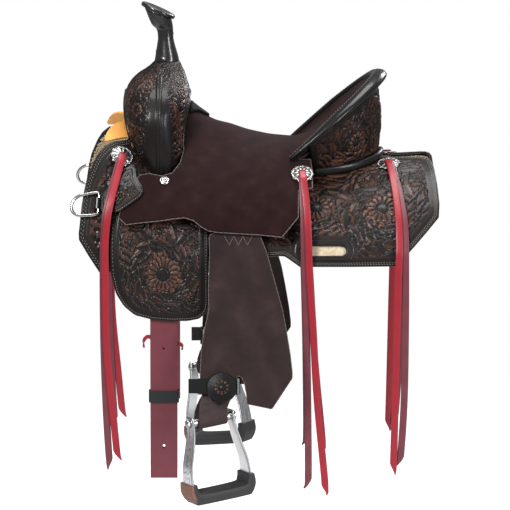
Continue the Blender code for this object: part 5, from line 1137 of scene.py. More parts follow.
round_side = np.minimum(girth_at, girth[-1] - girth_at)[:, None] * np.ones((1, rows))
swell_carving = Carving((-4, -4), (girth[-1] / 2 + 6, walk[-1] + 6), 23)
quarter = girth[-1] / 4
SWELL_FLOWERS = (
    (quarter + 38, 152, 19), (quarter + 30, 86, 20), (quarter - 26, 96, 15), (quarter + 86, 128, 22),
    (quarter + 136, 70, 19), (quarter - 78, 120, 22), (quarter + 12, 34, 14), (quarter - 120, 60, 20),
    (quarter + 36, 208, 15), (quarter - 30, 160, 13),
)
for u, v, r in SWELL_FLOWERS:
    swell_carving.flower(u, v, r, petals=9)
swell_carving.fill(SWELL_FLOWERS, spacing=12, length=27, width=7)
flat = np.stack([round_side.ravel(), share.ravel()], 1)
rise, tone = (layer.reshape(swell.shape[:2]) for layer in swell_carving.read(flat))
WELT_X = -181.0
on_flank = (np.abs(swell[..., 1]) > 60) & (swell[..., 2] < 172)
from_welt = np.abs(swell[..., 0] - WELT_X)
panel_half = np.interp(swell[..., 2], (20, 90, 135, 155, 166), (26, 24, 17, 12, 6))
plain = on_flank & (from_welt < panel_half)
edge_line = on_flank & (np.abs(from_welt - panel_half - 1.5) < 1.2)
welt = sum(np.exp(-(((swell[..., 0] - WELT_X + at) / 1.5) ** 2)) for at in (-2.6, 2.6)) * on_flank
rise = np.where(plain, 0.0, rise) + 2.0 * welt + 0.6 * edge_line
tone = np.where(plain, 0.16 + 0.1 * np.clip(welt, 0, 1), np.where(edge_line, 0.3, tone))
to_arch = share[:, -1:] - share
in_arch = ~over_arch.all(1)[:, None] & (to_arch < 11)
rise = np.where(in_arch, 0.0, rise)
tone = np.where(in_arch, 0.2, tone)
fade = np.clip(share / 8, 0, 1)
swell_face = swell + swell_normal * (rise * fade + 0.5)[..., None]
points = np.concatenate([swell_face.reshape(-1, 3), [[-168.5, 0, 194.2]]])
faces = ring_faces(columns, rows)
faces = [f for f in faces if (f[1] % rows) != 0 and (f[2] % rows) != 0]
last_to_first = [[(columns - 1) * rows + k, (columns - 1) * rows + k + 1, k + 1, k]
                 for k in range(rows - 1)]
faces += last_to_first + [[(i + 1) % columns * rows, i * rows, columns * rows] for i in range(columns)]
a, b, c = points[faces[0][:3]]
if np.dot(np.cross(b - a, c - a), swell_normal[0, 0]) < 0:
    faces = [f[::-1] for f in faces]
make_object("swell_tooled", points, faces, [tooled_leather], "tree",
            tone=np.append(tone.ravel(), 0.2))

for label, front in (("front", -1), ("rear", 1)):
    bend = np.linspace(0.06, math.pi - 0.06, 90)
    y, z = ARCH_HALF * np.cos(bend), ARCH_HEIGHT * np.sin(bend) ** 0.8
    middle, length, width, square = swell_shape(z)
    x = middle + front * (length + 0.6) * (1 - (np.abs(y) / width) ** square) ** (1 / square)
    clear = z > back_height(x, y, SKIRT_FACE) - 2
    bead = wire_rings(np.stack([x, y, z], 1)[clear], 3.6)
    solid_rings(f"arch_bead_{label}", bead, [black_leather], "tree")
print("swell columns and rows", columns, rows)

# %% [markdown]
# A short smooth strip covers the seat's front edge behind the swell. The horn is a wrapped neck, whose
# lap winds up it, and a tilted cap with a stitched rim.

# %% Strip behind the swell, and the horn


def strip_relief(uv, inner):
    """A smooth face with one line beaten in along its edge."""
    return 0.6 * np.exp(-(((inner - 3) / 1.2) ** 2)), np.full(len(uv), 0.3)


strip_loop = dense([(-127, -34), (-110, -16), (-92, -3), (-92, 3), (-110, 16), (-127, 34)], 3.0)
leather_sheet("swell_strip", [strip_loop], CELL, seat_place, 4.5, strip_relief, "tree",
              [matt_leather])
HORN_RINGS = ((193.2, -168.5, 22.5, 21.5), (203, -168.5, 20.8, 19.8), (222, -169.8, 16.5, 16.0),
              (236, -170.5, 14.2, 14.0), (251, -172.0, 15.2, 15.0), (262, -177.5, 19.5, 19.0))
CAP_CENTRE, CAP_TILT = np.array([-184.0, 0, 286.0]), math.radians(24)
cap_along = np.array([math.cos(CAP_TILT), 0, -math.sin(CAP_TILT)])
cap_up = np.array([math.sin(CAP_TILT), 0, math.cos(CAP_TILT)])
circle = np.linspace(0, 2 * math.pi, 72, endpoint=False)
COS, SIN = np.cos(circle), np.sin(circle)
across = np.array([0.0, 1.0, 0.0])


def cap_circle(along, wide, height, shift=0.0):
    """A ring of the tilted horn cap."""
    ring = CAP_CENTRE + cap_up * height + cap_along * shift
    return ring + cap_along * (along * COS)[:, None] + across * (wide * SIN)[:, None]


neck = [np.stack([x + a * np.cos(circle), b * np.sin(circle), np.full(72, z)], 1)
        for z, x, a, b in HORN_RINGS]
neck.append(cap_circle(27.0, 24.5, -4.2, 1.0))
neck = smooth_run(neck, 60)
turn_share = (circle[None, :] / (2 * math.pi) + np.linspace(0, 1.2, 60)[:, None]) % 1
lap = np.exp(-(((turn_share - 0.78) / 0.012) ** 2))
centre = neck.mean(1, keepdims=True)
neck = neck + unit(neck - centre) * (1.0 * lap)[..., None]
solid_rings("horn_wrap_leather", neck, [horn_leather], "tree", ("horn_wrap",),
            tone=0.3 + 0.7 * lap)
CAP_PROFILE = ((-4.0, -4.0), (-3.9, -1.6), (-3.0, -0.3), (-1.5, 0.0), (1.2, 0.0), (2.6, -0.5), (3.5, -1.8),
               (3.9, -3.6), (3.3, -5.0), (3.8, -6.4), (4.4, -9.0), (5.0, -14.0), (5.5, -20.0), (5.8, -27.0))
cap = [cap_circle(33 + grow, 29 + grow, height) for height, grow in CAP_PROFILE]
cap_tone = np.array([0.9, 0.8, 0.5, 0.3] + [0.3] * 10)[:, None] * np.ones(72)
solid_rings("horn_cap_leather", cap, [horn_leather], "tree", ("horn_cap",), tone=cap_tone)
ring = cap_circle(33 - 5.0, 29 - 5.0, 3.6)
tree_threads[NEAR].append((ring, unit(np.roll(ring, -1, 0) - ring), np.tile(cap_up, (72, 1))))

# %% [markdown]
# The cantle has three parts: a smooth roll round its rim, a carved back below it, and a binding
# along its foot.

# %% Cantle
BASE_SQUARE = 0.75


def base_point(angle, grow=0.0):
    """A point of the cantle's foot, on the skirts."""
    x = 62 + (155 + grow) * np.cos(angle)
    y = (88 + grow) * np.sign(np.sin(angle)) * np.abs(np.sin(angle)) ** BASE_SQUARE
    return np.stack([x, y, back_height(x, y, 17.8)], -1)


def wall_point(angle, share, grow=0.0):
    """A point of the cantle's back, from its rim (0) to its foot (1)."""
    top, foot = rim_point(angle, 2.0 + grow, roll_radius(angle) + 0.6), base_point(angle, grow)
    out = np.stack([np.cos(angle), np.sin(angle), np.zeros_like(angle)], -1)
    place = top + (foot - top) * share[..., None]
    return place + out * (6 * np.sin(math.pi * share) * np.cos(angle))[..., None]


angles = np.radians(np.linspace(-88.5, 88.5, 161))
out = np.stack([np.cos(angles), np.sin(angles), 0 * angles], -1)
turns = np.linspace(0, 2 * math.pi, 32, endpoint=False)
radius, lip = roll_radius(angles), 5 * np.sqrt(np.cos(angles))
roll = (rim_point(angles)[:, None]
        + out[:, None] * (lip[:, None] + (radius + lip)[:, None] * np.cos(turns))[..., None]
        + np.array([0, 0, 1]) * (radius[:, None] * np.sin(turns))[..., None])
solid_rings("cantle_roll_leather", roll, [black_leather], "tree", ("cantle_roll",),
            tone=0.4)
stitch_turn = math.radians(118)
seam = rim_point(angles) + out * (lip + (radius + lip + 0.4) * math.cos(stitch_turn))[:, None]
seam[:, 2] += (radius + 0.4) * math.sin(stitch_turn)
seam = smooth_run(seam, 96)
tree_threads[OFF].append((seam, unit(np.gradient(seam, axis=0)), np.tile([-0.5, 0, 0.85], (96, 1))))
WALL_WIDE, WALL_TALL = 150.0, 112.0


def wall_place(u, v, rise):
    """A point moved off the cantle's back."""
    angle, share = u / WALL_WIDE, v / WALL_TALL
    along = wall_point(angle + 0.01, share) - wall_point(angle - 0.01, share)
    down = wall_point(angle, share + 0.01) - wall_point(angle, share - 0.01)
    return wall_point(angle, share) + unit(np.cross(down, along)) * np.asarray(rise)[..., None]


wall_reach = WALL_WIDE * math.radians(76)
wall_loop = dense([(-wall_reach, 2), (wall_reach, 2), (wall_reach, 110), (-wall_reach, 110)], 5.0)
wall_carving = Carving(wall_loop.min(0) - 4, wall_loop.max(0) + 4, 31)
WALL_FLOWERS = ((0, 56, 30), (-112, 66, 22), (112, 66, 22), (-62, 34, 12), (62, 34, 12), (-60, 84, 13),
                (60, 84, 13))
for u, v, r in WALL_FLOWERS:
    wall_carving.flower(u, v, r, petals=12)
for side in (-1, 1):
    for k in range(5):
        tip = np.array([side * (150 + 9 * k), 46 + 13 * k])
        wall_carving.leaf(((side * 132, 100), (side * (140 + 4 * k), 86), tip), 7, lobes=5, tone=0.85)
wall_carving.fill(WALL_FLOWERS, spacing=12, length=28)
leather_sheet("cantle_back_tooled", [wall_loop], CELL, lifted(wall_place, -4.5), 4.5,
              with_border(wall_carving, border=7, grooves=(3.5,), beads=(8.0, 10.0)), "tree",
              [tooled_leather], ("cantle_back",), True)
angles = np.radians(np.linspace(-76, 76, 121))
out = np.stack([np.cos(angles), np.sin(angles), 0 * angles], -1)
inner, outer = base_point(angles, 1.6), base_point(angles, 11.6)
share = 1 - 12 / (rim_point(angles)[:, 2] - inner[:, 2])
top = wall_point(angles, share) + out * 1.6
top[:, 2] = inner[:, 2] + 12
beside = top + out * 7
corners = np.stack([inner, outer, outer + (beside - outer) * 0.8, top + (beside - top) * 0.6, top], 1)
rounds = np.stack([rounded(row, 2) for row in corners])
solid_rings("cantle_binding_leather", rounds, [black_leather], "tree", ("cantle_binding",),
            tone=0.35)
print("cantle wall map", wall_carving.u.shape)

# %% [markdown]
# The fenders hang in a leaning plane, so their flat pattern is x and height in that plane. They
# are rough-out leather as well, sewn to the stirrup leather behind them.

# %% Fenders and hobble straps
LEAN = math.radians(14)
FENDER_OUTLINE = (
    (-69, -85), (-19, -85), (2, -98), (14, -128), (28, -178), (42, -227), (49, -264), (56, -306),
    (59.5, -336), (59.5, -347), (23, -401), (-21.5, -392), (-22.5, -376), (-26.5, -355), (-31.5, -345),
    (-40, -343), (-41, -373), (-103, -373), (-106, -343), (-103.5, -295), (-97.5, -260), (-90, -226),
    (-91, -195), (-89, -131), (-90, -98),
)


def hang(x, height, depth):
    """A point of the fender's plane: height from the pivot, depth outwards from its inner face."""
    x, height, depth = np.broadcast_arrays(np.asarray(x, float), height, depth)
    y = 201.1 + depth * math.cos(LEAN) - height * math.sin(LEAN)
    return np.stack([x, y, depth * math.sin(LEAN) + height * math.cos(LEAN)], -1)


fender_corners = np.array([(x, z / math.cos(LEAN)) for x, z in FENDER_OUTLINE])
fender_loop = dense(rounded(dense(fender_corners, 9.0), 1), 5.0)
LAYER_LINE = ((-73.0, -98.0), (-86.0, -160.0), (-92.0, -212.0))


def fender_relief(uv, inner):
    """A rough face with a faint bend and the edge of the layer that is sewn on behind."""
    away = np.full(len(uv), 1e9)
    for a, b in zip(LAYER_LINE, LAYER_LINE[1:]):
        a, b = np.array(a), np.array(b)
        t = np.clip(((uv - a) @ (b - a)) / ((b - a) @ (b - a)), 0, 1)
        away = np.minimum(away, np.linalg.norm(uv - a - t[:, None] * (b - a), axis=1))
    wave = np.sin(uv[:, 1] * 0.05 + 2 * np.sin(uv[:, 0] * 0.03)) * np.sin(uv[:, 0] * 0.06)
    return 0.3 * wave * np.clip(inner / 20, 0, 1) - 0.9 * np.exp(-((away / 1.0) ** 2)), 0.45 + 0.2 * wave


zigzag = [(-62 + 8.2 * k, -102.0 - (15.0 if k % 2 else 0.0)) for k in range(7)]
for side, label in SIDES:
    body = f"{label}_fender_and_leather"
    leather_sheet(f"{label}_fender_suede", [fender_loop], CELL * 1.5, lifted(hang, 0.0, side), 4.5,
                  fender_relief, body, [fender_suede, cut_edge], (f"{label}_fender",),
                  side == OFF)
    edge_cord(f"{label}_fender_edge", fender_loop, lifted(hang, 0.0, side), 3.7, 0.75, cut_edge, body)
    line = dense(zigzag, 3.0, closed=False)
    letters = hang(line[:, 0], line[:, 1], 4.7) * mirror(side)
    way_out = np.array([0, side * math.cos(LEAN), math.sin(LEAN)])
    along = unit(np.gradient(letters, axis=0))
    sow(f"{label}_fender_threads", STITCH, letters, along, np.tile(way_out, (len(letters), 1)), body,
        grown=0.8)

MEDALLION_X, MEDALLION_HEIGHT = -67.0, -364 / math.cos(LEAN)
disc_turns = np.linspace(0, 2 * math.pi, 90, endpoint=False)
disc_loop = np.stack([MEDALLION_X + 27.0 * np.cos(disc_turns),
                      MEDALLION_HEIGHT + 27.0 * np.sin(disc_turns)], 1)
disc_carving = Carving(disc_loop.min(0) - 4, disc_loop.max(0) + 4, 41)
disc_carving.flower(MEDALLION_X, MEDALLION_HEIGHT, 21, petals=10)


def disc_relief(uv, inner):
    """A domed disc with a flower inside a roped rim."""
    height, tone = disc_carving.read(uv)
    turn = np.arctan2(uv[:, 1] - MEDALLION_HEIGHT, uv[:, 0] - MEDALLION_X)
    rope = np.exp(-(((inner - 3.4) / 1.3) ** 2)) * (0.8 + 0.4 * np.sin(turn * 30))
    band = inner < 6
    dome = 3.0 * np.clip(inner / 27, 0, 1) ** 0.8
    return np.where(band, 0, height) + rope + dome, np.where(band, 0.2 + 0.15 * rope, tone)


for side, label in SIDES:
    leather_sheet(f"{label}_medallion", [disc_loop], CELL * 0.6, lifted(hang, 7.4, side), 2.6, disc_relief,
                  f"{label}_fender_and_leather", [tooled_leather], (), side == OFF)

# %% [markdown]
# A carved tab holds the dee ring in front. It lies on the skirt and bends up over the jockey, and
# the ring is a wire run round a bow that is closed by a straight bar.

# %% Dee tabs and dee rings
TAB_OUTLINE = (
    (-226, 25), (-222, 1.5), (-210.5, -14.5), (-208.5, -22), (-214.5, -29.5), (-233.5, -42), (-251, -53),
    (-278, -60), (-286, -53), (-286, -31), (-276, -21), (-262, -5), (-248, 16),
)


def back_out(x, z, lift):
    """How far out the skirts' side is at a height."""
    return on_back(x, way_round(x, z, lift), lift)[..., 1]


def seat_out(z, lift):
    """How far out the seat's flank is at a height."""
    return (BARREL_HALF + lift) * np.sqrt(1 - np.clip((z - BARREL_FOOT) / (BARREL_TALL + lift), 0, 1) ** 2)


def tab_point(x, z, lift):
    """The dee tab lies on the skirt in front and bends up over the seat's jockey behind."""
    share = np.clip((x + 286) / 50, 0, 1)
    share = share * share * (3 - 2 * share)
    on_skirt, on_seat = back_out(x, z, 17.8 + lift), seat_out(z, 0.9 + lift)
    best = np.maximum(on_skirt * (1 - share) + on_seat * share, on_skirt)
    best = np.where(x > -259, np.maximum(best, on_seat), best)
    return np.stack([x, best, z], -1)


tab_loop = dense(rounded(dense(TAB_OUTLINE, 8.0), 1), 3.0)
tab_carving = Carving(tab_loop.min(0) - 4, tab_loop.max(0) + 4, 51)
tab_carving.flower(-250, -27, 11, petals=7)
tab_carving.leaf(((-242, -10), (-232, -4), (-232, 10)), 5, lobes=4, tone=0.8)
tab_carving.fill(((-250, -27, 11), (-230, -20, 4)), spacing=8, length=16, width=4.5)
tab_relief = with_border(tab_carving, border=6.5, grooves=(3.0,), beads=(7.0, 9.0))
bow = np.linspace(0, math.pi, 13)
for side, label in SIDES:
    place = lifted(tab_point, 1.0, side)
    leather_sheet(f"{label}_tab_tooled", [tab_loop], CELL * 0.6, place, 4.2, tab_relief, "tree",
                  [tooled_leather], (), side == OFF)
    tree_threads[side].append(lay_stitches(tab_loop, 3.0, place, 4.0, 3.6))
    out_top, out_low = (float(back_out(-290.0, z, SKIRT_FACE)) + 7.35 for z in (-24.0, -59.5))
    top, low = np.array([-290, out_top, -24.0]), np.array([-292, out_low, -59.5])
    bar = low - top
    half = np.linalg.norm(bar) / 2
    forward = unit(np.array([-1, 0.12, -0.1]))
    centre = (top + low) / 2 + forward * (53 - 5.5 - half)
    curve = (centre + bar / (2 * half) * (half * np.cos(bow))[:, None]
             + forward * (half * np.sin(bow))[:, None])
    path = smooth_run(np.concatenate([[top, top + bar * 0.5, low], curve]), 110, closed=True)
    ring = wire_rings(path, 2.75, 14, closed=True)
    rope = 0.5 + 0.5 * np.sin(np.arange(110) * 2 * math.pi / 5)[:, None] * np.ones(14)
    solid_rings(f"{label}_dee_silver", ring, [silver], f"{label}_dee", (f"{label}_dee_ring",),
                0.62 + 0.25 * rope, side, closed=True)

# %% [markdown]
# Each concho is a scalloped silver disc, engraved between its rays, with a rim of berries that the
# sower sets out. The strings start on it, one tail dyed burgundy and the other a brighter red.

# %% Conchos and strings
CONCHO_RADIUS, BERRY_RING = 21.5, 19.0
STRING_WIDTH, STRING_THICK, STRING_ROWS = 13.0, 2.8, 120
BERRY = sower("berry", (2.6, 2.6, 2.0), 8, 5, bright_silver)


def over_disc(head, normal, way, lift):
    """Where a string leaves the middle of its concho and passes over its rim."""
    way = np.asarray(way, float)
    way = unit(way - normal * way.dot(normal))
    return [head + normal * rise + way * reach
            for rise, reach in ((lift, -1.5), (2.2 * lift, 12), (2.4 * lift - 0.6, 24))]


FIRST_Y, SECOND_Y, CLEAR_OF_SKIRT = 224.1, 227.3, SKIRT_FACE + 3.4
OVER_SKIRT = [
    [on_back(x, way, CLEAR_OF_SKIRT + lift) for x, way, lift in stations] for stations in (
        ((248, 130, 4), (256, 170, 2), (262, 215, 1.5), (264, 260, 1)),
        ((243, 130, 8), (248, 170, 6), (252, 215, 5.5), (253, 260, 5)),
    )
]
TAILS = {
    "front": (
        ((-0.45, 0, -1), [
            (-268, 209, -24), (-276, 224, -60), (-280, FIRST_Y + 2, -110), (-281, FIRST_Y, -170),
            (-280, FIRST_Y, -300), (-276, FIRST_Y, -420), (-271, FIRST_Y, -506), (-268, FIRST_Y, -524),
        ]),
        ((-0.35, 0, -1), [
            (-264, 213, -24), (-272, 228, -60), (-277, SECOND_Y + 2, -110), (-277, SECOND_Y, -170),
            (-275, SECOND_Y, -300), (-264, SECOND_Y, -420), (-257, SECOND_Y, -492), (-254, SECOND_Y, -508),
        ]),
    ),
    "mid": (
        ((0.0, 1, -0.5), [
            (79, 207, -32), (80, 219, -66), (81, FIRST_Y + 0.6, -110), (82, FIRST_Y, -170),
            (85, FIRST_Y, -260), (88, FIRST_Y, -400), (89, FIRST_Y, -538), (86, FIRST_Y, -560),
        ]),
        ((0.1, 1, -0.5), [
            (84, 210.5, -30), (87, 222.5, -66), (89, SECOND_Y + 0.6, -110), (91, SECOND_Y, -170),
            (97, SECOND_Y, -260), (105, SECOND_Y, -400), (119, SECOND_Y, -548), (117, SECOND_Y, -571),
        ]),
    ),
    "rear": (
        ((0.25, 1, 0), OVER_SKIRT[0] + [
            (264, FIRST_Y, -150), (264, FIRST_Y, -260), (262, FIRST_Y, -400), (256, FIRST_Y, -500),
            (252, FIRST_Y, -520),
        ]),
        ((0.1, 1, 0), OVER_SKIRT[1] + [
            (252, SECOND_Y, -150), (249, SECOND_Y, -260), (246, SECOND_Y, -400), (243, SECOND_Y, -511),
            (241, SECOND_Y, -533),
        ]),
    ),
}


low, high = -60.0, 60.0
for _ in range(40):
    middle = (low + high) / 2
    low, high = (middle, high) if tab_point(-249.0, middle, 5.6)[1] > 147 else (low, middle)
z = (low + high) / 2
on = tab_point(-243.0, z, 0.0) - tab_point(-255.0, z, 0.0)
up = tab_point(-249.0, z + 6, 0.0) - tab_point(-249.0, z - 6, 0.0)
normal = np.cross(on, up)
front_seat = np.array([-249.0, 147.0, z]), unit(normal * np.sign(normal[1]))
slope = float(seat_height(78.0, 174.0) - seat_height(78.0, 162.0)) / 12
mid_seat = np.array([78.0, 168.0, float(seat_height(78.0, 168.0))]), unit(np.array([0, -slope, 1]))
slope = float(back_height(236.0, 68.0, SKIRT_FACE) - back_height(236.0, 56.0, SKIRT_FACE)) / 12
climb = float(spine_height(242.0) - spine_height(230.0)) / 12
rear_place = np.array([236.0, 62.0, float(back_height(236.0, 62.0, SKIRT_FACE))])
rear_seat = rear_place, unit(np.array([-climb, -slope, 1]))
RINGS = ((0.02, 5.2), (0.12, 5.6), (0.2, 6.2), (0.3, 6.2), (0.34, 5.6), (0.42, 5.6), (0.55, 5.2),
         (0.68, 4.4), (0.78, 3.6), (0.83, 3.2), (0.88, 3.0), (0.95, 2.9), (1.0, 2.2), (1.0, 0.9),
         (0.97, 0.2), (0.6, 0.1), (0.02, 0.1))
spin = np.linspace(0, 2 * math.pi, 120, endpoint=False)
for side, label in SIDES:
    for where, (centre, normal) in (("front", front_seat), ("mid", mid_seat), ("rear", rear_seat)):
        first = unit(np.array([1.0, 0, 0]) - normal * normal[0])
        second = np.cross(normal, first)
        rings, tones = [], []
        for share, rise in RINGS:
            scallop = 1 + 0.05 * np.cos(10 * spin) * max(0.0, share - 0.4) / 0.6
            ray = np.abs(np.cos(10 * spin / 2)) if 0.4 < share < 0.85 else np.ones(120)
            away = CONCHO_RADIUS * share / 1.05 * scallop
            height = 0.4 + rise - (0.5 * (1 - ray) if rise > 1 else 0)
            rings.append(centre + normal * np.broadcast_to(height, 120)[:, None]
                         + first * (away * np.cos(spin))[:, None]
                         + second * (away * np.sin(spin))[:, None])
            plain = np.full(120, 0.1 if share in (0.34, 0.83) else 0.6)
            tones.append(np.where(ray < 0.45, 0.05, 0.62) if 0.4 < share < 0.85 else plain)
        solid_rings(f"{label}_{where}_silver", rings, [silver], "tree",
                    (f"{label}_{where}_concho",), np.array(tones), side)
        berries = np.linspace(0, 2 * math.pi, 40, endpoint=False)
        ring = (centre + normal * 3.6 + first * (BERRY_RING * np.cos(berries))[:, None]
                + second * (BERRY_RING * np.sin(berries))[:, None])
        run = unit(np.roll(ring, -1, 0) - ring) * mirror(side)
        outward_way = np.tile(normal * mirror(side), (40, 1))
        sow(f"{label}_{where}_berries", BERRY, ring * mirror(side), run, outward_way, "tree")
        head = centre + normal * (0.8 + 3.2 + 3.0 + 1.4)
        for k, (way, hanging) in enumerate(TAILS[where]):
            stations = np.array(over_disc(head, normal, way, 1.4 * k) + hanging, float)
            run = unit(np.gradient(stations, axis=0))
            across = np.array([1.0, 0, 0]) - run * run[:, :1]
            for i in range(3):
                flat_way = np.cross(run[i], normal)
                across[i] = flat_way * math.copysign(1, flat_way[0])
            both = smooth_run(np.concatenate([stations, unit(across)], 1), STRING_ROWS)
            width = np.full(STRING_ROWS, STRING_WIDTH)
            width[-4:] = (11.0, 8.0, 5.0, 2.5)
            shift = np.zeros(STRING_ROWS)
            shift[-4:] = (1.0, 2.5, 4.0, 5.2)
            path = both[:, :3] + unit(both[:, 3:]) * shift[:, None] * (1 if k else -1)
            rings = strap_rings(path, both[:, 3:], width, np.full(STRING_ROWS, STRING_THICK))
            wear = 0.05 * np.sin(np.arange(STRING_ROWS) * 0.7)[:, None] * np.ones(16)
            face_tone = (0.9 if k else 0.38) + wear
            solid_rings(f"{label}_{where}_thong_{k + 1}", rings, [latigo_leather],
                        f"{label}_{where}_thongs", (f"{label}_{where}_strings",),
                        face_tone, side)
SCREW_X, SCREW_Z, SCREW_RADIUS = -171.0, -4.5, 9.5
screw_y = float(seat_out(SCREW_Z, 0.0))
lean_share = (SCREW_Z - BARREL_FOOT) / BARREL_TALL
screw_normal = unit(np.array([0, math.sqrt(1 - lean_share**2) / BARREL_HALF, lean_share / BARREL_TALL]))
first, second = np.array([1.0, 0, 0]), np.cross(screw_normal, [1.0, 0, 0])
SCREW_RINGS = ((0.03, 2.6), (0.14, 2.6), (0.18, 3.6), (0.3, 4.4), (0.5, 4.6), (0.56, 3.5), (0.64, 3.5),
               (0.7, 4.0), (0.84, 3.6), (0.96, 2.6), (1.0, 1.6), (0.97, 0.8), (0.03, 0.75))
for side, label in SIDES:
    rings = [np.array([SCREW_X, screw_y, SCREW_Z]) + screw_normal * rise
             + first * (SCREW_RADIUS * share * COS)[:, None]
             + second * (SCREW_RADIUS * share * SIN)[:, None] for share, rise in SCREW_RINGS]
    tones = np.array([0.1 if share in (0.14, 0.56, 0.64) else 0.8 for share, _ in SCREW_RINGS])
    tones = tones[:, None] * np.ones(72)
    solid_rings(f"{label}_screw_silver", rings, [silver], "tree", (f"{label}_seat_screw",),
                tones, side)
print("string stations", len(path))

ties = (((-189, 214, -287), (-201, 214, -283), (-208, 215, -290), (-208, 216, -303)),
        ((-155, 214, -299), (-144, 214, -296), (-139, 215, -300), (-139, 216, -307)))
for k, stations in enumerate(ties):
    path = smooth_run(stations, 30)
    rings = strap_rings(path, np.tile([0.0, 0.1, 1.0], (30, 1)), np.linspace(8, 6, 30),
                        np.full(30, 2.4), 12)
    solid_rings(f"near_latigo_tie_{k + 1}", rings, [latigo_leather], "near_latigo_strap",
                (), 0.85, NEAR)

# %% [markdown]
# The stirrups are cast aluminium with a scroll engraved on the outside. Their treads are wrapped
# in ribbed leather. Both are drawn in the frame of the stirrup's own bolt.

# %% Stirrups and treads
YAW, ROLL = math.radians(25), math.radians(7)
BOLT = np.array([-87.0, 292.2, -421.5])
fore = np.array([-math.cos(YAW) * math.cos(ROLL), math.sin(YAW) * math.cos(ROLL), -math.sin(ROLL)])
plumb = np.array([0, 0, -1.0])
down = unit(plumb - fore * fore.dot(plumb))
cross = unit(np.cross(down, fore))


def stirrup_place(a, b, c):
    """A point at distances forward, across and down from the bolt."""
    a, b, c = np.broadcast_arrays(a, b, c)
    return BOLT + fore * a[..., None] + cross * b[..., None] + down * c[..., None]


HALF_PROFILE = (
    (40, -11, 28), (40, 0, 30), (42, 22, 33), (48, 50, 38), (55, 78, 40), (57, 102, 44), (57, 122, 44),
    (51, 131, 44), (40, 134, 44),
)
profile = smooth_run(list(HALF_PROFILE) + [(-a, c, w) for a, c, w in HALF_PROFILE[::-1]], 150)
run = unit(np.gradient(profile[:, :2], axis=0))
side_way = np.stack([run[:, 1], -run[:, 0]], 1)
section = np.linspace(0, 2 * math.pi, 64, endpoint=False)
wide = np.sign(np.sin(section)) * np.abs(np.sin(section)) ** 0.5
thick = np.sign(np.cos(section)) * np.abs(np.cos(section)) ** 0.6
outer_side = thick > 0.55
length = np.cumsum(np.linalg.norm(np.diff(profile[:, :2], axis=0, prepend=profile[:1, :2]), axis=1))
scroll = np.sin(length[:, None] * 0.24 + 2.4 * np.sin(wide * 3.0 + length[:, None] * 0.12))
scroll = np.exp(-((scroll / 0.28) ** 2)) * (np.abs(wide) < 0.82) * outer_side
line = np.exp(-(((np.abs(wide) - 0.88) / 0.04) ** 2)) * outer_side
cut = np.clip(scroll + line, 0, 1)
b = wide * (profile[:, 2:3] / 2)
depth = (3.0 - 0.35 * cut) * thick * (1 - 0.25 * (np.abs(wide) > 0.9))
forward_at, down_at = profile[:, :1] + side_way[:, :1] * depth, profile[:, 1:2] + side_way[:, 1:] * depth
stirrup_rings = stirrup_place(forward_at, b, down_at)
TREAD_OUTER = ((-62.5, 108), (-63.5, 126), (-55, 142), (-42, 145), (42, 145), (55, 142), (63.5, 126),
               (62.5, 108))
TREAD_INNER = ((-50.9, 108), (-48.3, 120), (-38, 126.3), (38, 126.3), (48.3, 120), (50.9, 108))
outer_line = smooth_run([(a, c, 0) for a, c in TREAD_OUTER], 110)
inner_line = smooth_run([(a, c, 0) for a, c in TREAD_INNER], 110)
tread_b = np.linspace(-26, 26, 79)
edge = np.clip((26 - np.abs(tread_b)) / 3.0, 0, 1)
swell_out = np.sqrt(np.maximum(1 - (1 - edge) ** 2, 0))
rib = 0.9 * np.abs(np.cos(tread_b * math.pi / 5.2)) ** 0.7
middle_line = (outer_line + inner_line) / 2
rows_b, rows_tone = [], []
for k, at_b in enumerate(tread_b):
    o = middle_line + (outer_line - middle_line) * (0.35 + 0.65 * swell_out[k])
    i = middle_line + (inner_line - middle_line) * (0.35 + 0.65 * swell_out[k])
    o_run, i_run = unit(np.gradient(o, axis=0)), unit(np.gradient(i, axis=0))
    o = o + np.stack([-o_run[:, 1], o_run[:, 0], 0 * o_run[:, 0]], 1) * rib[k]
    i = i + np.stack([i_run[:, 1], -i_run[:, 0], 0 * i_run[:, 0]], 1) * rib[k] * 0.8
    loop = np.concatenate([o, i[::-1]])
    rows_b.append(stirrup_place(loop[:, 0], at_b, loop[:, 1]))
    rust = np.clip((loop[:, 0] - 54) / 3, 0, 1)
    rows_tone.append(0.08 + 0.26 * rib[k] + 0.6 * rust)
caps = [stirrup_place(middle_line[:, 0], at_b, middle_line[:, 1]) for at_b in (-26, 26)]
for side, label in SIDES:
    body = f"{label}_stirrup_and_tread"
    solid_rings(f"{label}_stirrup_engraved", stirrup_rings, [aluminium], body,
                (f"{label}_stirrup",), 0.85 - 0.75 * cut, side)
    points = np.concatenate(rows_b + caps) * mirror(side)
    faces = ring_faces(79, 220)
    for base, middles in ((0, 79 * 220), (78 * 220, 79 * 220 + 110)):
        for k in range(109):
            o1, o2, i1, i2 = base + k, base + k + 1, base + 219 - k, base + 218 - k
            m1, m2 = middles + k, middles + k + 1
            if base == 0:
                faces += [[o2, o1, m1, m2], [i1, i2, m2, m1]]
            else:
                faces += [[o1, o2, m2, m1], [i2, i1, m1, m2]]
    tones = np.concatenate([np.concatenate(rows_tone), np.full(220, 0.2)])
    make_object(f"{label}_tread_ribbed", points, outward(points - points.mean(0), faces), [tread_leather],
                body, (f"{label}_tread",), tones)
print("bolt place", BOLT)

# %% [markdown]
# The fleece under the skirts shows as a woolly edge. A soft thick sheet carries it, and the sower
# plants tufts of many sizes round its rim and over the side that lies on the horse.

# %% Fleece
TUFT = sower("tuft", (5.4, 3.6, 4.2), 6, 4, wool)
fleece_loop = dense(offset_line(skirt_loop, 7.0, 5.0), 7.0)
fleece_rng = np.random.default_rng(61)


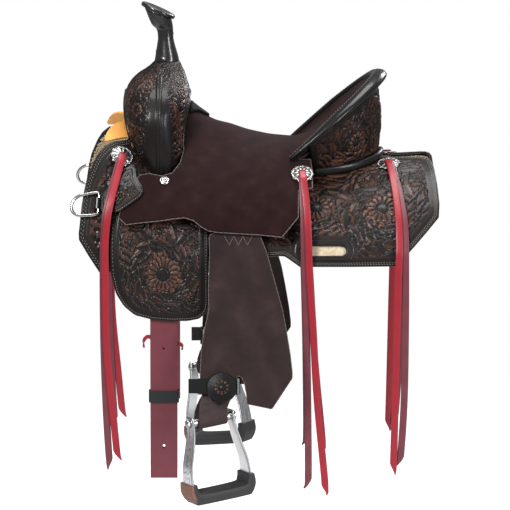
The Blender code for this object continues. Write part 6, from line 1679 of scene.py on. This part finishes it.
def fleece_relief(uv, inner):
    """An uneven woolly face."""
    return -0.4 + fleece_rng.uniform(-0.5, 0.3, len(uv)), fleece_rng.uniform(0.3, 0.8, len(uv))


for side, label in SIDES:
    place = lifted(skirt_place, -SKIRT_FACE, side)
    leather_sheet(f"{label}_fleece_wool", [fleece_loop], CELL * 2.4, place, 10.6, fleece_relief, "tree",
                  [wool], (f"{label}_fleece",), side == NEAR)
    rim = dense(fleece_loop, 3.2)
    rim = np.repeat(rim, 4, 0) + fleece_rng.normal(0, 1.2, (len(rim) * 4, 2))
    lift = fleece_rng.uniform(0.5, 9.0, len(rim))
    inner_uv, _, inside, _ = cut_grid([fleece_loop], 7.5)
    inner_uv = inner_uv + fleece_rng.normal(0, 1.6, inner_uv.shape)
    uv = np.concatenate([rim, inner_uv])
    lift = np.concatenate([lift, np.full(len(inner_uv), -0.7)])
    at = place(uv[:, 0], uv[:, 1], lift)
    loose = unit(fleece_rng.normal(0, 1, at.shape))
    sow(f"{label}_fleece_tufts", TUFT, at, loose, unit(fleece_rng.normal(0, 1, at.shape)), "tree",
        grown=fleece_rng.uniform(0.6, 1.15, len(at)))
print("tufts on a side", len(at))

# %% [markdown]
# Pieces that need no finer mesh keep the one from the CAD model. They get their material, and a
# small bevel on their sharp edges.

# %% Dress the CAD pieces that stay
DRESS = {
    "swell_cover": black_leather, "fork": tree_wood, "ground_seat": strap_suede,
    "gullet_lining": natural_leather, "horn_core": steel, "near_latigo": latigo_strap,
    "off_billet": latigo_strap, "near_latigo_keeper": black_rubber, "bar": tree_wood,
    "bar_leather": strap_suede, "dee_tab": black_leather, "hobble_strap": black_leather,
    "leather_buckle": steel, "rigging_ring": steel, "rigging_strap": black_leather, "stirrup_bolt": steel,
    "stirrup_leather": strap_suede,
}
for name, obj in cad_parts.items():
    material = DRESS.get(name) or DRESS.get(name.split("_", 1)[-1])
    if material is None:
        continue
    obj.data.materials.clear()
    obj.data.materials.append(material)
    soften = obj.modifiers.new("soft_edges", "BEVEL")
    soften.width, soften.segments, soften.limit_method = 0.6 * MM, 2, "ANGLE"
    soften.angle_limit = math.radians(40)
print("dressed", len(DRESS))

# %% [markdown]
# Every stitch line on the tree was kept until now, so that each side is sewn in one go.

# %% Sew the threads of the tree
for side, label in SIDES:
    at, along, out = (np.concatenate([t[i] for t in tree_threads[side]]) for i in range(3))
    sow(f"{label}_threads", STITCH, at, along, out, "tree")
